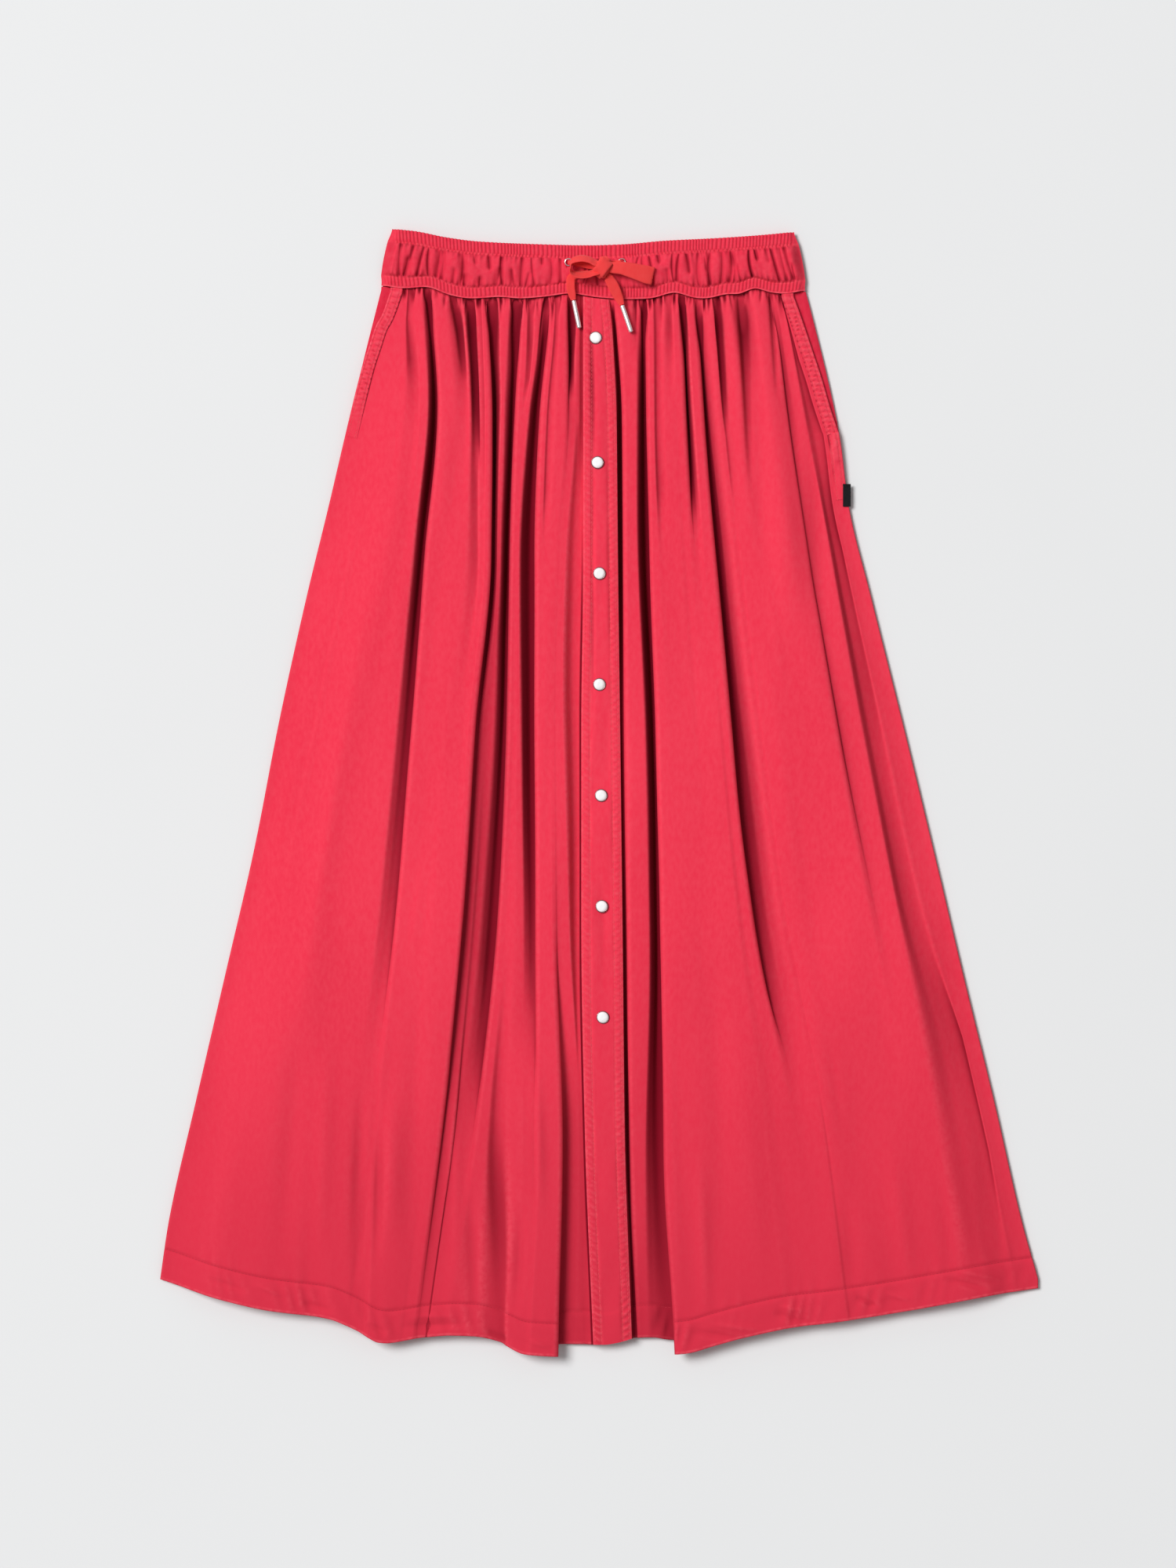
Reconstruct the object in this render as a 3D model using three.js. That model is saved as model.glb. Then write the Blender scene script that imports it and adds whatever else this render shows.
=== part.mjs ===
// A gathered A-line maxi skirt, laid flat on its back panel.
// Millimetres, +X to the right of the picture, +Y towards the waist, +Z up from the surface.
import * as THREE from "three";

// Driving sizes
const CLOTH = 1.5; // wall of one cloth layer
const SEAM_GAP = 0.3; // between pieces that lie on each other
const SEAM_BUTT = 0.6; // between edges that meet at a wavy seam
const BACK_WALL = 1.8;
const FLOOR = BACK_WALL + SEAM_GAP + CLOTH; // outer height of a front panel where it lies on the back
const HEM_SWELL = 0.5; // the turned hem stands proud by this much
const HEM_SHARE = 0.969; // where the hem's stitch line runs, as a share of the way down
const HALF_WIDTH = 369.4;
const HALF_LENGTH = 473.6;

// Heights of the outline, from the waist seam to the side corner of the hem
const OUTLINE = {
  y: [424, 350, 297, 244.5, 165, 60, -46, -151.5, -257, -363, -410],
  left: [-183.5, -202, -214.7, -227, -246.3, -269.4, -290, -314.3, -338.7, -362.5, -HALF_WIDTH],
  right: [173.5, 192, 203, 209.7, 229, 255.3, 281, 306, 331.8, 356.2, HALF_WIDTH],
};
// The slanted pocket openings, which are the front panels' own side edges up there
const POCKET_EDGE = {
  left: { y: [424, 403, 395, 379, 362, 340], x: [-175.5, -183, -187.6, -193, -198.6, -204.4] },
  right: { y: [420, 411, 386, 370, 350, 327, 306], x: [163.5, 166.8, 175.4, 180.7, 187.3, 194, 201] },
};
const POCKET_BAND = { width: 10, thick: 1, lowest: 300 };
const POCKET_BEARER = { under: 18, lowest: 295, thick: 1.5 };

// The wavy seam under the waistband, and the waistband's top edge
const SEAM = {
  x: [-184, -164, -145, -128, -108, -82, -69, -42, -24, -9, 4, 24, 43, 53, 63, 80, 90, 109, 119, 130, 142, 156, 175],
  y: [427, 424, 425.5, 419, 415.5, 417, 415.5, 417.5, 420, 417.5, 416, 415, 415.5, 418, 421, 416, 415.5, 419.5,
    419, 425, 421, 419.5, 423],
};
const WAIST_TOP = {
  x: [-174.4, -155, -128, -102, -62, -9, 17, 57, 96, 136, 164.2],
  y: [HALF_LENGTH, 471.6, 466.3, 463, 461, 459.7, 460.4, 463.7, 465.6, 468.3, 471],
};

// The hem edge: the two side stretches, and the recessed stretch between their inner folds
const HEM = {
  left: {
    x: [-HALF_WIDTH, -320, -280, -227, -207, -181, -148, -118, -89, -62, -34],
    y: [-410, -425.4, -434.6, -442, -450, -462.3, -457.7, -455.7, -459.7, -471.6, -HALF_LENGTH],
  },
  centre: { x: [-34, 4, 17, 30, 43, 60], y: [-464.3, -464.3, -462.3, -459, -458.4, -461] },
  right: {
    x: [64, 76, 90, 116, 142, 162, 189, 222, 255, 288, 321, HALF_WIDTH],
    y: [-471.6, -470.3, -466.3, -459, -453, -449, -445.8, -441.2, -436, -430, -424, -417.5],
  },
};

// Shares of the way from the waist seam to the hem at which the folds are given
const DOWN = [0, 0.03, 0.115, 0.25, 0.41, 0.6, 0.8, 1];
const DOWN_COARSE = [0, 0.25, 0.6, 1];
// How high the tops of the folds lie, and the flat cloth along the side seams
const LOFT = { top: [6.6, 9.5, 15, 18, 19.5, 19, 17, 16], side: [5.6, 5.6, 5.6, 4, 3.8, 3.8, 3.8, 3.8] };
const SHOULDER = 62; // the cloth rises from a side seam to the tops of the folds over this width
const LIP = { radius: 2.6, over: 1.2 }; // a fold's rolled edge, and how far it hangs over the wall below it

// Folds of the left front from the side seam inwards. x and depth are given at DOWN, gap and ridge at DOWN_COARSE.
// lip: the side whose edge hangs over the fold (1 right, -1 left, 0 a soft trough); ridge: the height of the
// cloth to the fold's right, as a share of the loft; slope: the width of the soft side.
const LEFT_FOLDS = [
  { lip: 0, x: [-163, -161, -156, -166, -185, -207, -228, -240], depth: [2, 3.5, 1.5, 0, 0, 0, 0, 1.5],
    gap: [5, 10, 10, 10], ridge: [1, 1, 1, 1], slope: 4 },
  { lip: 1, x: [-144, -141, -136, -146, -157, -171, -189, -197], depth: [2, 10, 14, 14, 10, 6, 2, 3],
    gap: [3.5, 7, 11, 12], ridge: [1, 1, 1.05, 1.1], slope: 3.5 },
  { lip: 0, x: [-122, -118, -113, -120, -133, -146, -162, -178], depth: [2.5, 4, 1, 0, 0, 0, 0, 0],
    gap: [5, 8, 8, 8], ridge: [1, 1, 1.1, 1.05], slope: 4 },
  { lip: 0, x: [-109, -107.5, -104.5, -104, -118, -131, -148, -168], depth: [3, 6, 8, 2, 0, 0, 0, 0],
    gap: [3, 7, 7, 7], ridge: [1, 1, 1.1, 1], slope: 4 },
  { lip: 0, x: [-98, -96.5, -97, -97, -111, -122, -140, -161], depth: [3, 4, 1, 0, 0, 0, 0, 0],
    gap: [3, 4, 4, 4], ridge: [1, 1.05, 1.1, 1], slope: 3 },
  { lip: -1, x: [-93, -92, -89.6, -90, -103, -114, -131.5, -154], depth: [3, 12, 14, 9, 9, 10, 7, 1],
    gap: [6, 3.5, 3, 6], ridge: [1, 0.8, 0.5, 0.9], slope: 3 },
  { lip: 1, x: [-66.8, -68, -71.4, -75.7, -78, -86, -104.5, -131], depth: [3, 13, 15, 15, 16, 13, 7, 1],
    gap: [5, 5, 9, 12], ridge: [1, 0.85, 0.75, 0.9], slope: 3 },
  { lip: 0, x: [-58, -58, -62, -69.5, -71, -75, -87, -83], depth: [3, 3, 0, 0, 0, 0, 3, 4],
    gap: [3, 3, 6, 8], ridge: [1, 0.85, 0.8, 0.95], slope: 3 },
  { lip: 1, x: [-43, -44, -50.3, -54.3, -54.3, -53.6, -53.6, -61], depth: [2, 5, 11, 14, 14, 9, 2, 2],
    gap: [2, 10.5, 8, 8], ridge: [1, 1.05, 1.1, 1.1], slope: 3 },
  { lip: 0, x: [-38.4, -39.5, -43, -46, -46, -45, -44, -48], depth: [3, 6, 4, 0, 0, 0, 0, 0],
    gap: [3, 5, 5, 5], ridge: [1, 1.05, 1.1, 1.1], slope: 3 },
  { lip: -1, x: [-26, -25.6, -24.5, -26, -30.5, -33.8, -30.5, -34.5], depth: [3, 9, 3, 2, 4, 6, 12, 13],
    gap: [4, 3, 9, 14], ridge: [0.95, 0.9, 0.6, 0.35], slope: 2 },
];
// Folds of the right front from the placket outwards
const RIGHT_FOLDS = [
  { lip: 1, x: [11, 14.4, 19, 19.8, 20.6, 22.8, 24.8, 31], depth: [2, 8, 12, 12, 8, 7, 6, 4],
    gap: [2, 4, 2.4, 3], ridge: [1, 0.95, 0.8, 0.45], slope: 1.5 },
  { lip: 1, x: [38, 38.5, 39.4, 41.7, 47.4, 51.1, 53.3, 63.2], depth: [3, 9, 15, 16, 16, 16, 15, 13],
    gap: [3, 6, 6, 19], ridge: [1, 1.1, 1.1, 1.15], slope: 4 },
  { lip: 0, x: [47.4, 48, 48.5, 54, 62, 67, 71, 80], depth: [2.5, 4, 4, 0, 0, 0, 0, 0],
    gap: [4, 6, 6, 6], ridge: [1, 1.05, 1.1, 1.1], slope: 3 },
  { lip: 0, x: [59, 59.5, 62, 69, 78, 86, 95, 105], depth: [2.5, 2, 0, 0, 0, 0, 0, 0],
    gap: [3, 4, 4, 4], ridge: [1, 1, 1.1, 1.1], slope: 3 },
  { lip: -1, x: [67.8, 70, 73.1, 80.4, 92, 108, 130, 150], depth: [2, 7, 9, 2, 0, 0, 0, 0],
    gap: [2, 5, 4, 4], ridge: [1, 1, 1.05, 1.05], slope: 3 },
  { lip: -1, x: [82.3, 84, 88.3, 98.2, 110.4, 129.2, 165, 190], depth: [2, 5, 8, 9, 10, 9, 1, 0],
    gap: [2, 7, 11, 7], ridge: [1, 0.95, 0.95, 1], slope: 6 },
  { lip: 0, x: [97.5, 101, 106, 119, 136, 157, 190, 215], depth: [3, 7, 3, 0, 0, 0, 0, 0],
    gap: [3, 5, 5, 5], ridge: [1, 1, 1, 1], slope: 3 },
  { lip: 0, x: [118, 122, 131, 143, 165, 190, 225, 250], depth: [3, 7, 4, 1.5, 0, 0, 0, 1],
    gap: [4, 8, 10, 10], ridge: [1, 1, 1, 1], slope: 3 },
  { lip: -1, x: [145, 149, 157.6, 174.7, 197.2, 228, 262, 290], depth: [2, 6, 10, 8, 6, 1, 0, 0],
    gap: [2, 8, 9, 6], ridge: [0.85, 0.75, 0.85, 1], slope: 3 },
  { lip: 0, x: [152.2, 160, 184, 203, 230, 262, 318, 345], depth: [1, 0.5, 0, 1, 1.2, 1.2, 1.2, 0.8],
    gap: [2, 10, 12, 12], ridge: [1, 1, 1, 1], slope: 3 },
];

// The placket: its two edges at DOWN, the height it lies on and its thickness
const PLACKET = {
  left: [-13.4, -13.4, -13.4, -13.4, -15, -15, -12, -5],
  right: [8.4, 11, 14.6, 15.8, 17.6, 19.6, 21.5, 27.5],
  rest: [5.2, 7.6, 11, 12, 11.5, 11, 10.5, 9.5],
  thick: 2.4,
  overlap: 9, // how far the left front runs under it
  // The shelves that it lies on: how far they show beside it, and how they drop to the folds
  shelf: { left: 1, leftDrop: 1.2, under: 1.5, right: 1.9 },
};
const SNAP = {
  first: 382, second: 276.9, pitch: 93.2, count: 7, capRadius: 4.7, ringRadius: 5.4, height: 3,
  aside: [-2, -2.2, -1, -1, 0, 0, 0],
};

// Waistband: a ribbed strip, a puffy gathered channel and a second ribbed strip
const WAISTBAND = {
  foot: [-183.5, 173.5], // the lower corners
  strip: 11, stripTop: 7, rib: 0.8, ribPitch: 3.1,
  channelTop: 9.6, gather: 1.5, gatherPitch: 11.6, puff: 3, // the channel reaches its height over the puff
  inside: 3.7, insideColumns: 12,
  backWall: 3.4, backStep: [429.5, 428], // the back is thinner below the step, where the fronts' tops lie on it
  edge: { share: 0.02, wall: 0.8 }, // it thins towards the sides
};
const EYELET = { x: [-25.9, 19], y: 445.6, z: 11.2, radius: 3.3, wire: 1 };
const RIBBON = { thick: 1.2 };
const AGLET = { radius: 2, z: { left: 11.4, right: 12.4 } };
const SIDE_TAB = { width: 6.6, height: 19, thick: 1, outward: 3, y: 250 };

const DYED = new THREE.MeshStandardMaterial({ color: 0xd8304a, roughness: 0.85, metalness: 0 });
const DYED_DARK = new THREE.MeshStandardMaterial({ color: 0xb5203a, roughness: 0.9, metalness: 0 });
const RIBBON_RED = new THREE.MeshStandardMaterial({ color: 0xdf3f3c, roughness: 0.8, metalness: 0 });
const PEARL = new THREE.MeshStandardMaterial({ color: 0xf2eeee, roughness: 0.25, metalness: 0 });
const METAL = new THREE.MeshStandardMaterial({ color: 0xd9d6d2, roughness: 0.2, metalness: 1 });
const BLACK_TAPE = new THREE.MeshStandardMaterial({ color: 0x1c1c1f, roughness: 0.9, metalness: 0 });

const lerp = THREE.MathUtils.lerp;
const clamp = THREE.MathUtils.clamp;
const smooth = (s) => THREE.MathUtils.smoothstep(s, 0, 1);

// A smooth curve through the values given at rising keys
function through(keys, values, at) {
  const last = keys.length - 1;
  if (at <= keys[0]) return values[0];
  if (at >= keys[last]) return values[last];
  const k = keys.findIndex((key) => key > at) - 1;
  const slope = (i) => (values[i + 1] - values[i]) / (keys[i + 1] - keys[i]);
  const tangent = (i) => {
    if (i === 0 || i === last) return slope(Math.min(i, last - 1));
    const [before, after] = [slope(i - 1), slope(i)];
    return before * after <= 0 ? 0 : (2 * before * after) / (before + after);
  };
  const span = keys[k + 1] - keys[k];
  const s = (at - keys[k]) / span;
  const [s2, s3] = [s * s, s * s * s];
  return (2 * s3 - 3 * s2 + 1) * values[k] + (s3 - 2 * s2 + s) * span * tangent(k) +
    (3 * s2 - 2 * s3) * values[k + 1] + (s3 - s2) * span * tangent(k + 1);
}
// The same for tables that run from high y to low y
const atHeight = (y, keys, values) => through(keys.map((k) => -k), values, -y);
const seamHeight = (x) => through(SEAM.x, SEAM.y, x);

const sideTop = { left: seamHeight(-183), right: seamHeight(173) };
const sideHem = { left: HEM.left.y[0], right: HEM.right.y.at(-1) };

// The outline at a share of the way down, and the front panel's own edge, which the pocket opening cuts in
function sideHeight(side, down) {
  return lerp(sideTop[side], sideHem[side], down);
}
function outlineEdge(side, down) {
  return atHeight(sideHeight(side, down), OUTLINE.y, OUTLINE[side]);
}
function frontEdge(side, down) {
  const y = sideHeight(side, down);
  const pocket = POCKET_EDGE[side];
  const outline = outlineEdge(side, down);
  if (y < pocket.y.at(-1)) return outline;
  const cut = atHeight(y, pocket.y, pocket.x);
  return side === "left" ? Math.max(cut, outline) : Math.min(cut, outline);
}

// Height of the tops of the folds at a place
function loft(x, down) {
  const inFromSide = Math.min(x - outlineEdge("left", down), outlineEdge("right", down) - x);
  const side = through(DOWN, LOFT.side, down);
  return lerp(side, through(DOWN, LOFT.top, down), smooth(inFromSide / SHOULDER));
}

// One fold's control points across the cloth, from left to right: [x, z]
function foldPoints(fold, down, ridgeBefore) {
  const edge = through(DOWN, fold.x, down);
  const depth = through(DOWN, fold.depth, down);
  const gap = through(DOWN_COARSE, fold.gap, down);
  const ridgeAfter = through(DOWN_COARSE, fold.ridge, down);
  const top = loft(edge, down);
  const [before, after] = [top * ridgeBefore, top * ridgeAfter];
  if (fold.lip === 0) {
    const floor = Math.max(FLOOR, (before + after) / 2 - depth);
    return { edge, points: [[edge, floor]], ridgeAfter };
  }
  const sharp = clamp(depth / 6, 0, 1);
  const [lipTop, farTop] = fold.lip > 0 ? [after, before] : [before, after];
  const floor = Math.max(FLOOR, lipTop - depth);
  const far = Math.max(farTop, floor);
  const lipHeight = Math.max(lerp(floor, lipTop, 0.5), lipTop - LIP.radius);
  const over = Math.min(LIP.over, 0.12 * (lipTop - floor));
  // From the soft side to the lip, as if the lip were on the right at x = 0
  const folded = [
    [-gap - fold.slope, far],
    [-gap * 0.85, lerp(floor, far, 0.5)],
    [-gap * 0.35, floor],
    [over, lerp(floor, lipHeight, 0.35)],
    [0, lipHeight],
    [LIP.radius * 1.4, lipTop],
  ];
  const [first, last] = [folded[0], folded.at(-1)];
  const points = folded.map(([x, z], i) => {
    const share = i / (folded.length - 1);
    const flat = [lerp(first[0], last[0], share), lerp(first[1], last[1], share)];
    return [lerp(flat[0], x, sharp), lerp(flat[1], z, sharp)];
  });
  const placed = points.map(([x, z]) => [edge + fold.lip * x, z]);
  if (fold.lip < 0) placed.reverse();
  return { edge, points: placed, ridgeAfter };
}

// The folds of one panel at one height, joined by the tops of the ridges between them.
// firstRidge: the height before the first fold, as a share of the loft
function foldedCloth(folds, down, from, to, firstRidge = 1) {
  const placed = [];
  let ridge = firstRidge;
  for (const fold of folds) {
    const made = foldPoints(fold, down, ridge);
    placed.push({ ...made, ridgeBefore: ridge });
    ridge = made.ridgeAfter;
  }
  const startOf = (i) => (i < placed.length ? placed[i].points[0][0] : to);
  const endOf = (i) => (i >= 0 ? placed[i].points.at(-1)[0] : from);
  // Two folds whose soft sides would meet are narrowed towards their own lips
  const clear = 0.8;
  const narrow = (fold, limit) => {
    const end = fold.edge < limit ? fold.points.at(-1)[0] : fold.points[0][0];
    const share = (limit - fold.edge) / (end - fold.edge);
    fold.points.forEach((point) => {
      if ((point[0] - fold.edge) * (limit - fold.edge) > 0) point[0] = lerp(fold.edge, point[0], share);
    });
  };
  for (let i = 1; i < placed.length; i += 1) {
    const [before, after] = [placed[i - 1], placed[i]];
    const meeting = startOf(i) - endOf(i - 1) < 2 * clear;
    if (meeting && before.points.length > 1 && after.points.length > 1) {
      const middle = (startOf(i) + endOf(i - 1)) / 2;
      narrow(before, middle - clear);
      narrow(after, middle + clear);
    }
  }
  // A soft trough stays between its neighbours, and is shallow where they are near
  const room = 4;
  placed.forEach((fold, i) => {
    if (fold.points.length > 1) return;
    let next = i + 1;
    while (next < placed.length && placed[next].points.length === 1) next += 1;
    const span = startOf(next) - endOf(i - 1);
    const between = Math.min(room, span / (next - i + 1));
    const x = clamp(fold.points[0][0], endOf(i - 1) + between, startOf(next) - between * (next - i));
    const near = Math.min(x - endOf(i - 1), startOf(i + 1) - x);
    const lowest = loft(x, down) * (fold.ridgeBefore + fold.ridgeAfter) / 2 - Math.max(0, near) * 0.3;
    fold.points = [[x, Math.max(fold.points[0][1], lowest)]];
  });
  const row = [];
  placed.forEach((fold, i) => {
    const before = i ? endOf(i - 1) : from;
    const x = (before + fold.points[0][0]) / 2;
    row.push([x, loft(x, down) * fold.ridgeBefore]);
    row.push(...fold.points);
  });
  return { row, ridge };
}

// Shares of the plain cloth between the outermost fold and the side border at which it has a column
const OPEN_CLOTH = [0.33, 0.67];

// Outer points of a front panel at one height, from left to right
function frontRow(side, down) {
  const edge = frontEdge(side, down);
  const inward = side === "left" ? 1 : -1;
  const fromEdge = (distance) => {
    const x = edge + inward * distance;
    return [x, loft(x, down)];
  };
  const border = [0, POCKET_BAND.width / 2, POCKET_BAND.width].map(fromEdge);
  const rest = through(DOWN, PLACKET.rest, down);
  const [placketLeft, placketRight] = [PLACKET.left, PLACKET.right].map((v) => through(DOWN, v, down));
  const { shelf } = PLACKET;
  if (side === "left") {
    const firstFold = through(DOWN, LEFT_FOLDS[0].x, down);
    const open = OPEN_CLOTH.map((share) => fromEdge(lerp(border[2][0], firstFold, share) - edge));
    const beside = placketLeft - shelf.left;
    const { row, ridge } = foldedCloth(LEFT_FOLDS, down, open[1][0], beside - shelf.left);
    const strip = (row.at(-1)[0] + beside) / 2;
    const ridgeTop = Math.max(FLOOR, loft(strip, down) * ridge);
    // Where the cloth beside the placket is higher than its shelf, the strip between them slopes down to it
    const stripTop = lerp(Math.min(ridgeTop, rest), ridgeTop, 0.5);
    return [...border, ...open, ...row, [strip, stripTop], [beside, rest - shelf.leftDrop],
      [placketLeft + shelf.under, rest], [placketLeft + PLACKET.overlap, rest]];
  }
  const shelfRidge = rest / loft(through(DOWN, RIGHT_FOLDS[0].x, down), down);
  const { row } = foldedCloth(RIGHT_FOLDS, down, placketRight - shelf.right, border[2][0], shelfRidge);
  const lastFold = row.at(-1)[0];
  const open = OPEN_CLOTH.map((share) => fromEdge(edge - lerp(lastFold, border[2][0], share)));
  // The first entry of row is the shelf beside the placket, which stays level with it
  row[0] = [placketRight - shelf.right, rest];
  const start = placketLeft + PLACKET.overlap + 2 * SEAM_GAP;
  return [[start, rest], [(start + placketRight) / 2, rest], ...row, ...open, ...border.reverse()];
}

// The last columns of the left front and the first of the right belong to the recessed stretch of the hem
const RECESSED = { left: 8, right: 14 };
function hemHeight(side, index, count, x) {
  const recessed = side === "left" ? index >= count - RECESSED.left : index < RECESSED.right;
  const table = recessed ? HEM.centre : HEM[side];
  return through(table.x, table.y, x);
}

const ROWS = [0, 0.008, 0.018, 0.034, 0.06, 0.095, 0.14, 0.19, 0.25, 0.33, 0.42, 0.52, 0.61, 0.7, 0.79, 0.87,
  0.93, HEM_SHARE - 0.004, HEM_SHARE + 0.004, 1];

// A grid of outer points for a front panel: grid[row][column] is a Vector3
function frontGrid(side) {
  const top = frontRow(side, 0);
  const bottom = frontRow(side, 1);
  return ROWS.map((down) => frontRow(side, down).map(([x, z], i, row) => {
    const y = lerp(seamHeight(top[i][0]) - SEAM_BUTT, hemHeight(side, i, row.length, bottom[i][0]), down);
    return new THREE.Vector3(x, y, z + (down > HEM_SHARE ? HEM_SWELL : 0));
  }));
}

// Each point of a grid moved by a distance across its row's line, in the X-Z plane
function movedOut(grid, distance) {
  return grid.map((row) => row.map((point, i) => {
    const before = row[Math.max(i - 1, 0)];
    const after = row[Math.min(i + 1, row.length - 1)];
    const normalOf = (a, b) => new THREE.Vector2(a.z - b.z, b.x - a.x).normalize();
    const normals = [];
    if (i > 0) normals.push(normalOf(before, point));
    if (i < row.length - 1) normals.push(normalOf(point, after));
    const mean = normals.reduce((sum, n) => sum.add(n), new THREE.Vector2()).normalize();
    const reach = distance / Math.max(0.75, mean.dot(normals[0]));
    const z = Math.max(point.z + mean.y * reach, BACK_WALL + SEAM_GAP);
    return new THREE.Vector3(point.x + mean.x * reach, point.y, z);
  }));
}

// A closed wall between two grids of the same size; the outer one is on top
function wallBetween(outer, inner) {
  const rows = outer.length;
  const columns = outer[0].length;
  const positions = [outer, inner].flatMap((grid) => grid.flatMap((row) => row.flatMap((p) => p.toArray())));
  const at = (layer, r, c) => (layer * rows + r) * columns + c;
  const index = [];
  const quad = (a, b, c, d) => index.push(a, b, c, a, c, d);
  for (let r = 0; r < rows - 1; r += 1) {
    for (let c = 0; c < columns - 1; c += 1) {
      quad(at(0, r, c), at(0, r + 1, c), at(0, r + 1, c + 1), at(0, r, c + 1));
      quad(at(1, r, c), at(1, r, c + 1), at(1, r + 1, c + 1), at(1, r + 1, c));
    }
    quad(at(0, r, 0), at(1, r, 0), at(1, r + 1, 0), at(0, r + 1, 0));
    quad(at(0, r + 1, columns - 1), at(1, r + 1, columns - 1), at(1, r, columns - 1), at(0, r, columns - 1));
  }
  for (let c = 0; c < columns - 1; c += 1) {
    quad(at(0, 0, c), at(0, 0, c + 1), at(1, 0, c + 1), at(1, 0, c));
    quad(at(0, rows - 1, c + 1), at(0, rows - 1, c), at(1, rows - 1, c), at(1, rows - 1, c + 1));
  }
  return geometryOf(positions, index);
}
function geometryOf(positions, index) {
  const geometry = new THREE.BufferGeometry();
  geometry.setAttribute("position", new THREE.Float32BufferAttribute(positions, 3));
  geometry.setIndex(index);
  geometry.computeVertexNormals();
  return geometry;
}

const group = new THREE.Group();
function addPiece(name, geometry, material, parent = group) {
  const mesh = new THREE.Mesh(geometry, material);
  mesh.name = name;
  parent.add(mesh);
  return mesh;
}

// Front panels, with the pocket edge band on each
function addFront(side) {
  const grid = frontGrid(side);
  addPiece(`front_${side}`, wallBetween(grid, movedOut(grid, -CLOTH)), DYED);
  const columns = grid[0].length;
  const bandRows = grid.filter((row) => row[side === "left" ? 0 : columns - 1].y > POCKET_BAND.lowest);
  const lifted = (distance) => movedOut(bandRows, distance).map((row) => {
    return side === "left" ? row.slice(0, 3) : row.slice(columns - 3);
  });
  const [under, over] = [lifted(SEAM_GAP), lifted(SEAM_GAP + POCKET_BAND.thick)];
  addPiece(`pocket_band_${side}`, wallBetween(over, under), DYED);
}

// The side piece behind a pocket opening: its outer edge is the outline, its inner edge lies under the front
function addBearer(side) {
  const inward = side === "left" ? 1 : -1;
  const lowest = (sideTop[side] - POCKET_BEARER.lowest) / (sideTop[side] - sideHem[side]);
  const steps = 7;
  const layer = (z) => Array.from({ length: steps + 1 }, (_, i) => {
    const down = (i / steps) * lowest;
    const edge = outlineEdge(side, down);
    const row = [0, POCKET_BEARER.under].map((distance) => {
      const x = edge + inward * distance;
      const top = seamHeight(edge + inward * distance) - SEAM_BUTT;
      return new THREE.Vector3(x, lerp(top, POCKET_BEARER.lowest, i / steps), z);
    });
    return side === "left" ? row : row.reverse();
  });
  const base = BACK_WALL + SEAM_GAP;
  addPiece(`pocket_bearer_${side}`, wallBetween(layer(base + POCKET_BEARER.thick), layer(base)), DYED_DARK);
}

// The back panel lies flat; it is a little smaller, so it stays hidden under the front
const BACK = { columns: 14, inset: 1, hemInset: 3, lowestHem: -462, seam: { x: [-184, 0, 175], y: [424, 414, 420] } };
const backSeam = (x) => through(BACK.seam.x, BACK.seam.y, x);
function backHem(x) {
  const inner = [HEM.left.x.at(-1), HEM.right.x[0]];
  const table = x < inner[0] ? HEM.left : x > inner[1] ? HEM.right : HEM.centre;
  return Math.max(through(table.x, table.y, x), BACK.lowestHem) + BACK.hemInset;
}
function addBack() {
  const { columns, inset } = BACK;
  const edgesAt = (down) => [outlineEdge("left", down) + inset, outlineEdge("right", down) - inset];
  const layer = (z) => ROWS.filter((_, i) => i % 2 === 0 || i === ROWS.length - 1).map((down) => {
    return Array.from({ length: columns + 1 }, (_, i) => {
      const [topX, x, hemX] = [0, down, 1].map((at) => lerp(...edgesAt(at), i / columns));
      return new THREE.Vector3(x, lerp(backSeam(topX) - SEAM_BUTT, backHem(hemX), down), z);
    });
  });
  addPiece("back", wallBetween(layer(BACK_WALL), layer(0)), DYED_DARK);
}

// The placket: a folded band on the shelves of both fronts, a little thinner along its edges
const PLACKET_ACROSS = { share: [0, 0.13, 0.5, 0.87, 1], sink: [0.6, 0, 0.25, 0, 0.6] };
function placketAt(down) {
  const edges = [PLACKET.left, PLACKET.right].map((values) => through(DOWN, values, down));
  const clear = SEAM_GAP + 0.5 * Math.max(0, 1 - down / DOWN[2]);
  return { edges, under: through(DOWN, PLACKET.rest, down) + clear };
}
const placketHem = (x) => through(HEM.centre.x, HEM.centre.y, x);
function placketTop(y) {
  const down = (seamHeight(0) - y) / (seamHeight(0) - HEM.centre.y[0]);
  const { edges, under } = placketAt(down);
  return { x: (edges[0] + edges[1]) / 2, z: under + PLACKET.thick - PLACKET_ACROSS.sink[2] };
}
function addPlacket() {
  const layer = (heightOf) => ROWS.map((down) => {
    const { edges, under } = placketAt(down);
    const swell = down > HEM_SHARE ? HEM_SWELL : 0;
    return PLACKET_ACROSS.share.map((share, i) => {
      const x = lerp(...edges, share);
      const y = lerp(seamHeight(x) - 2 * SEAM_BUTT, placketHem(x), down);
      return new THREE.Vector3(x, y, heightOf(under, i) + swell);
    });
  });
  const over = layer((under, i) => under + PLACKET.thick - PLACKET_ACROSS.sink[i]);
  addPiece("placket", wallBetween(over, layer((under) => under)), DYED);
}

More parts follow.
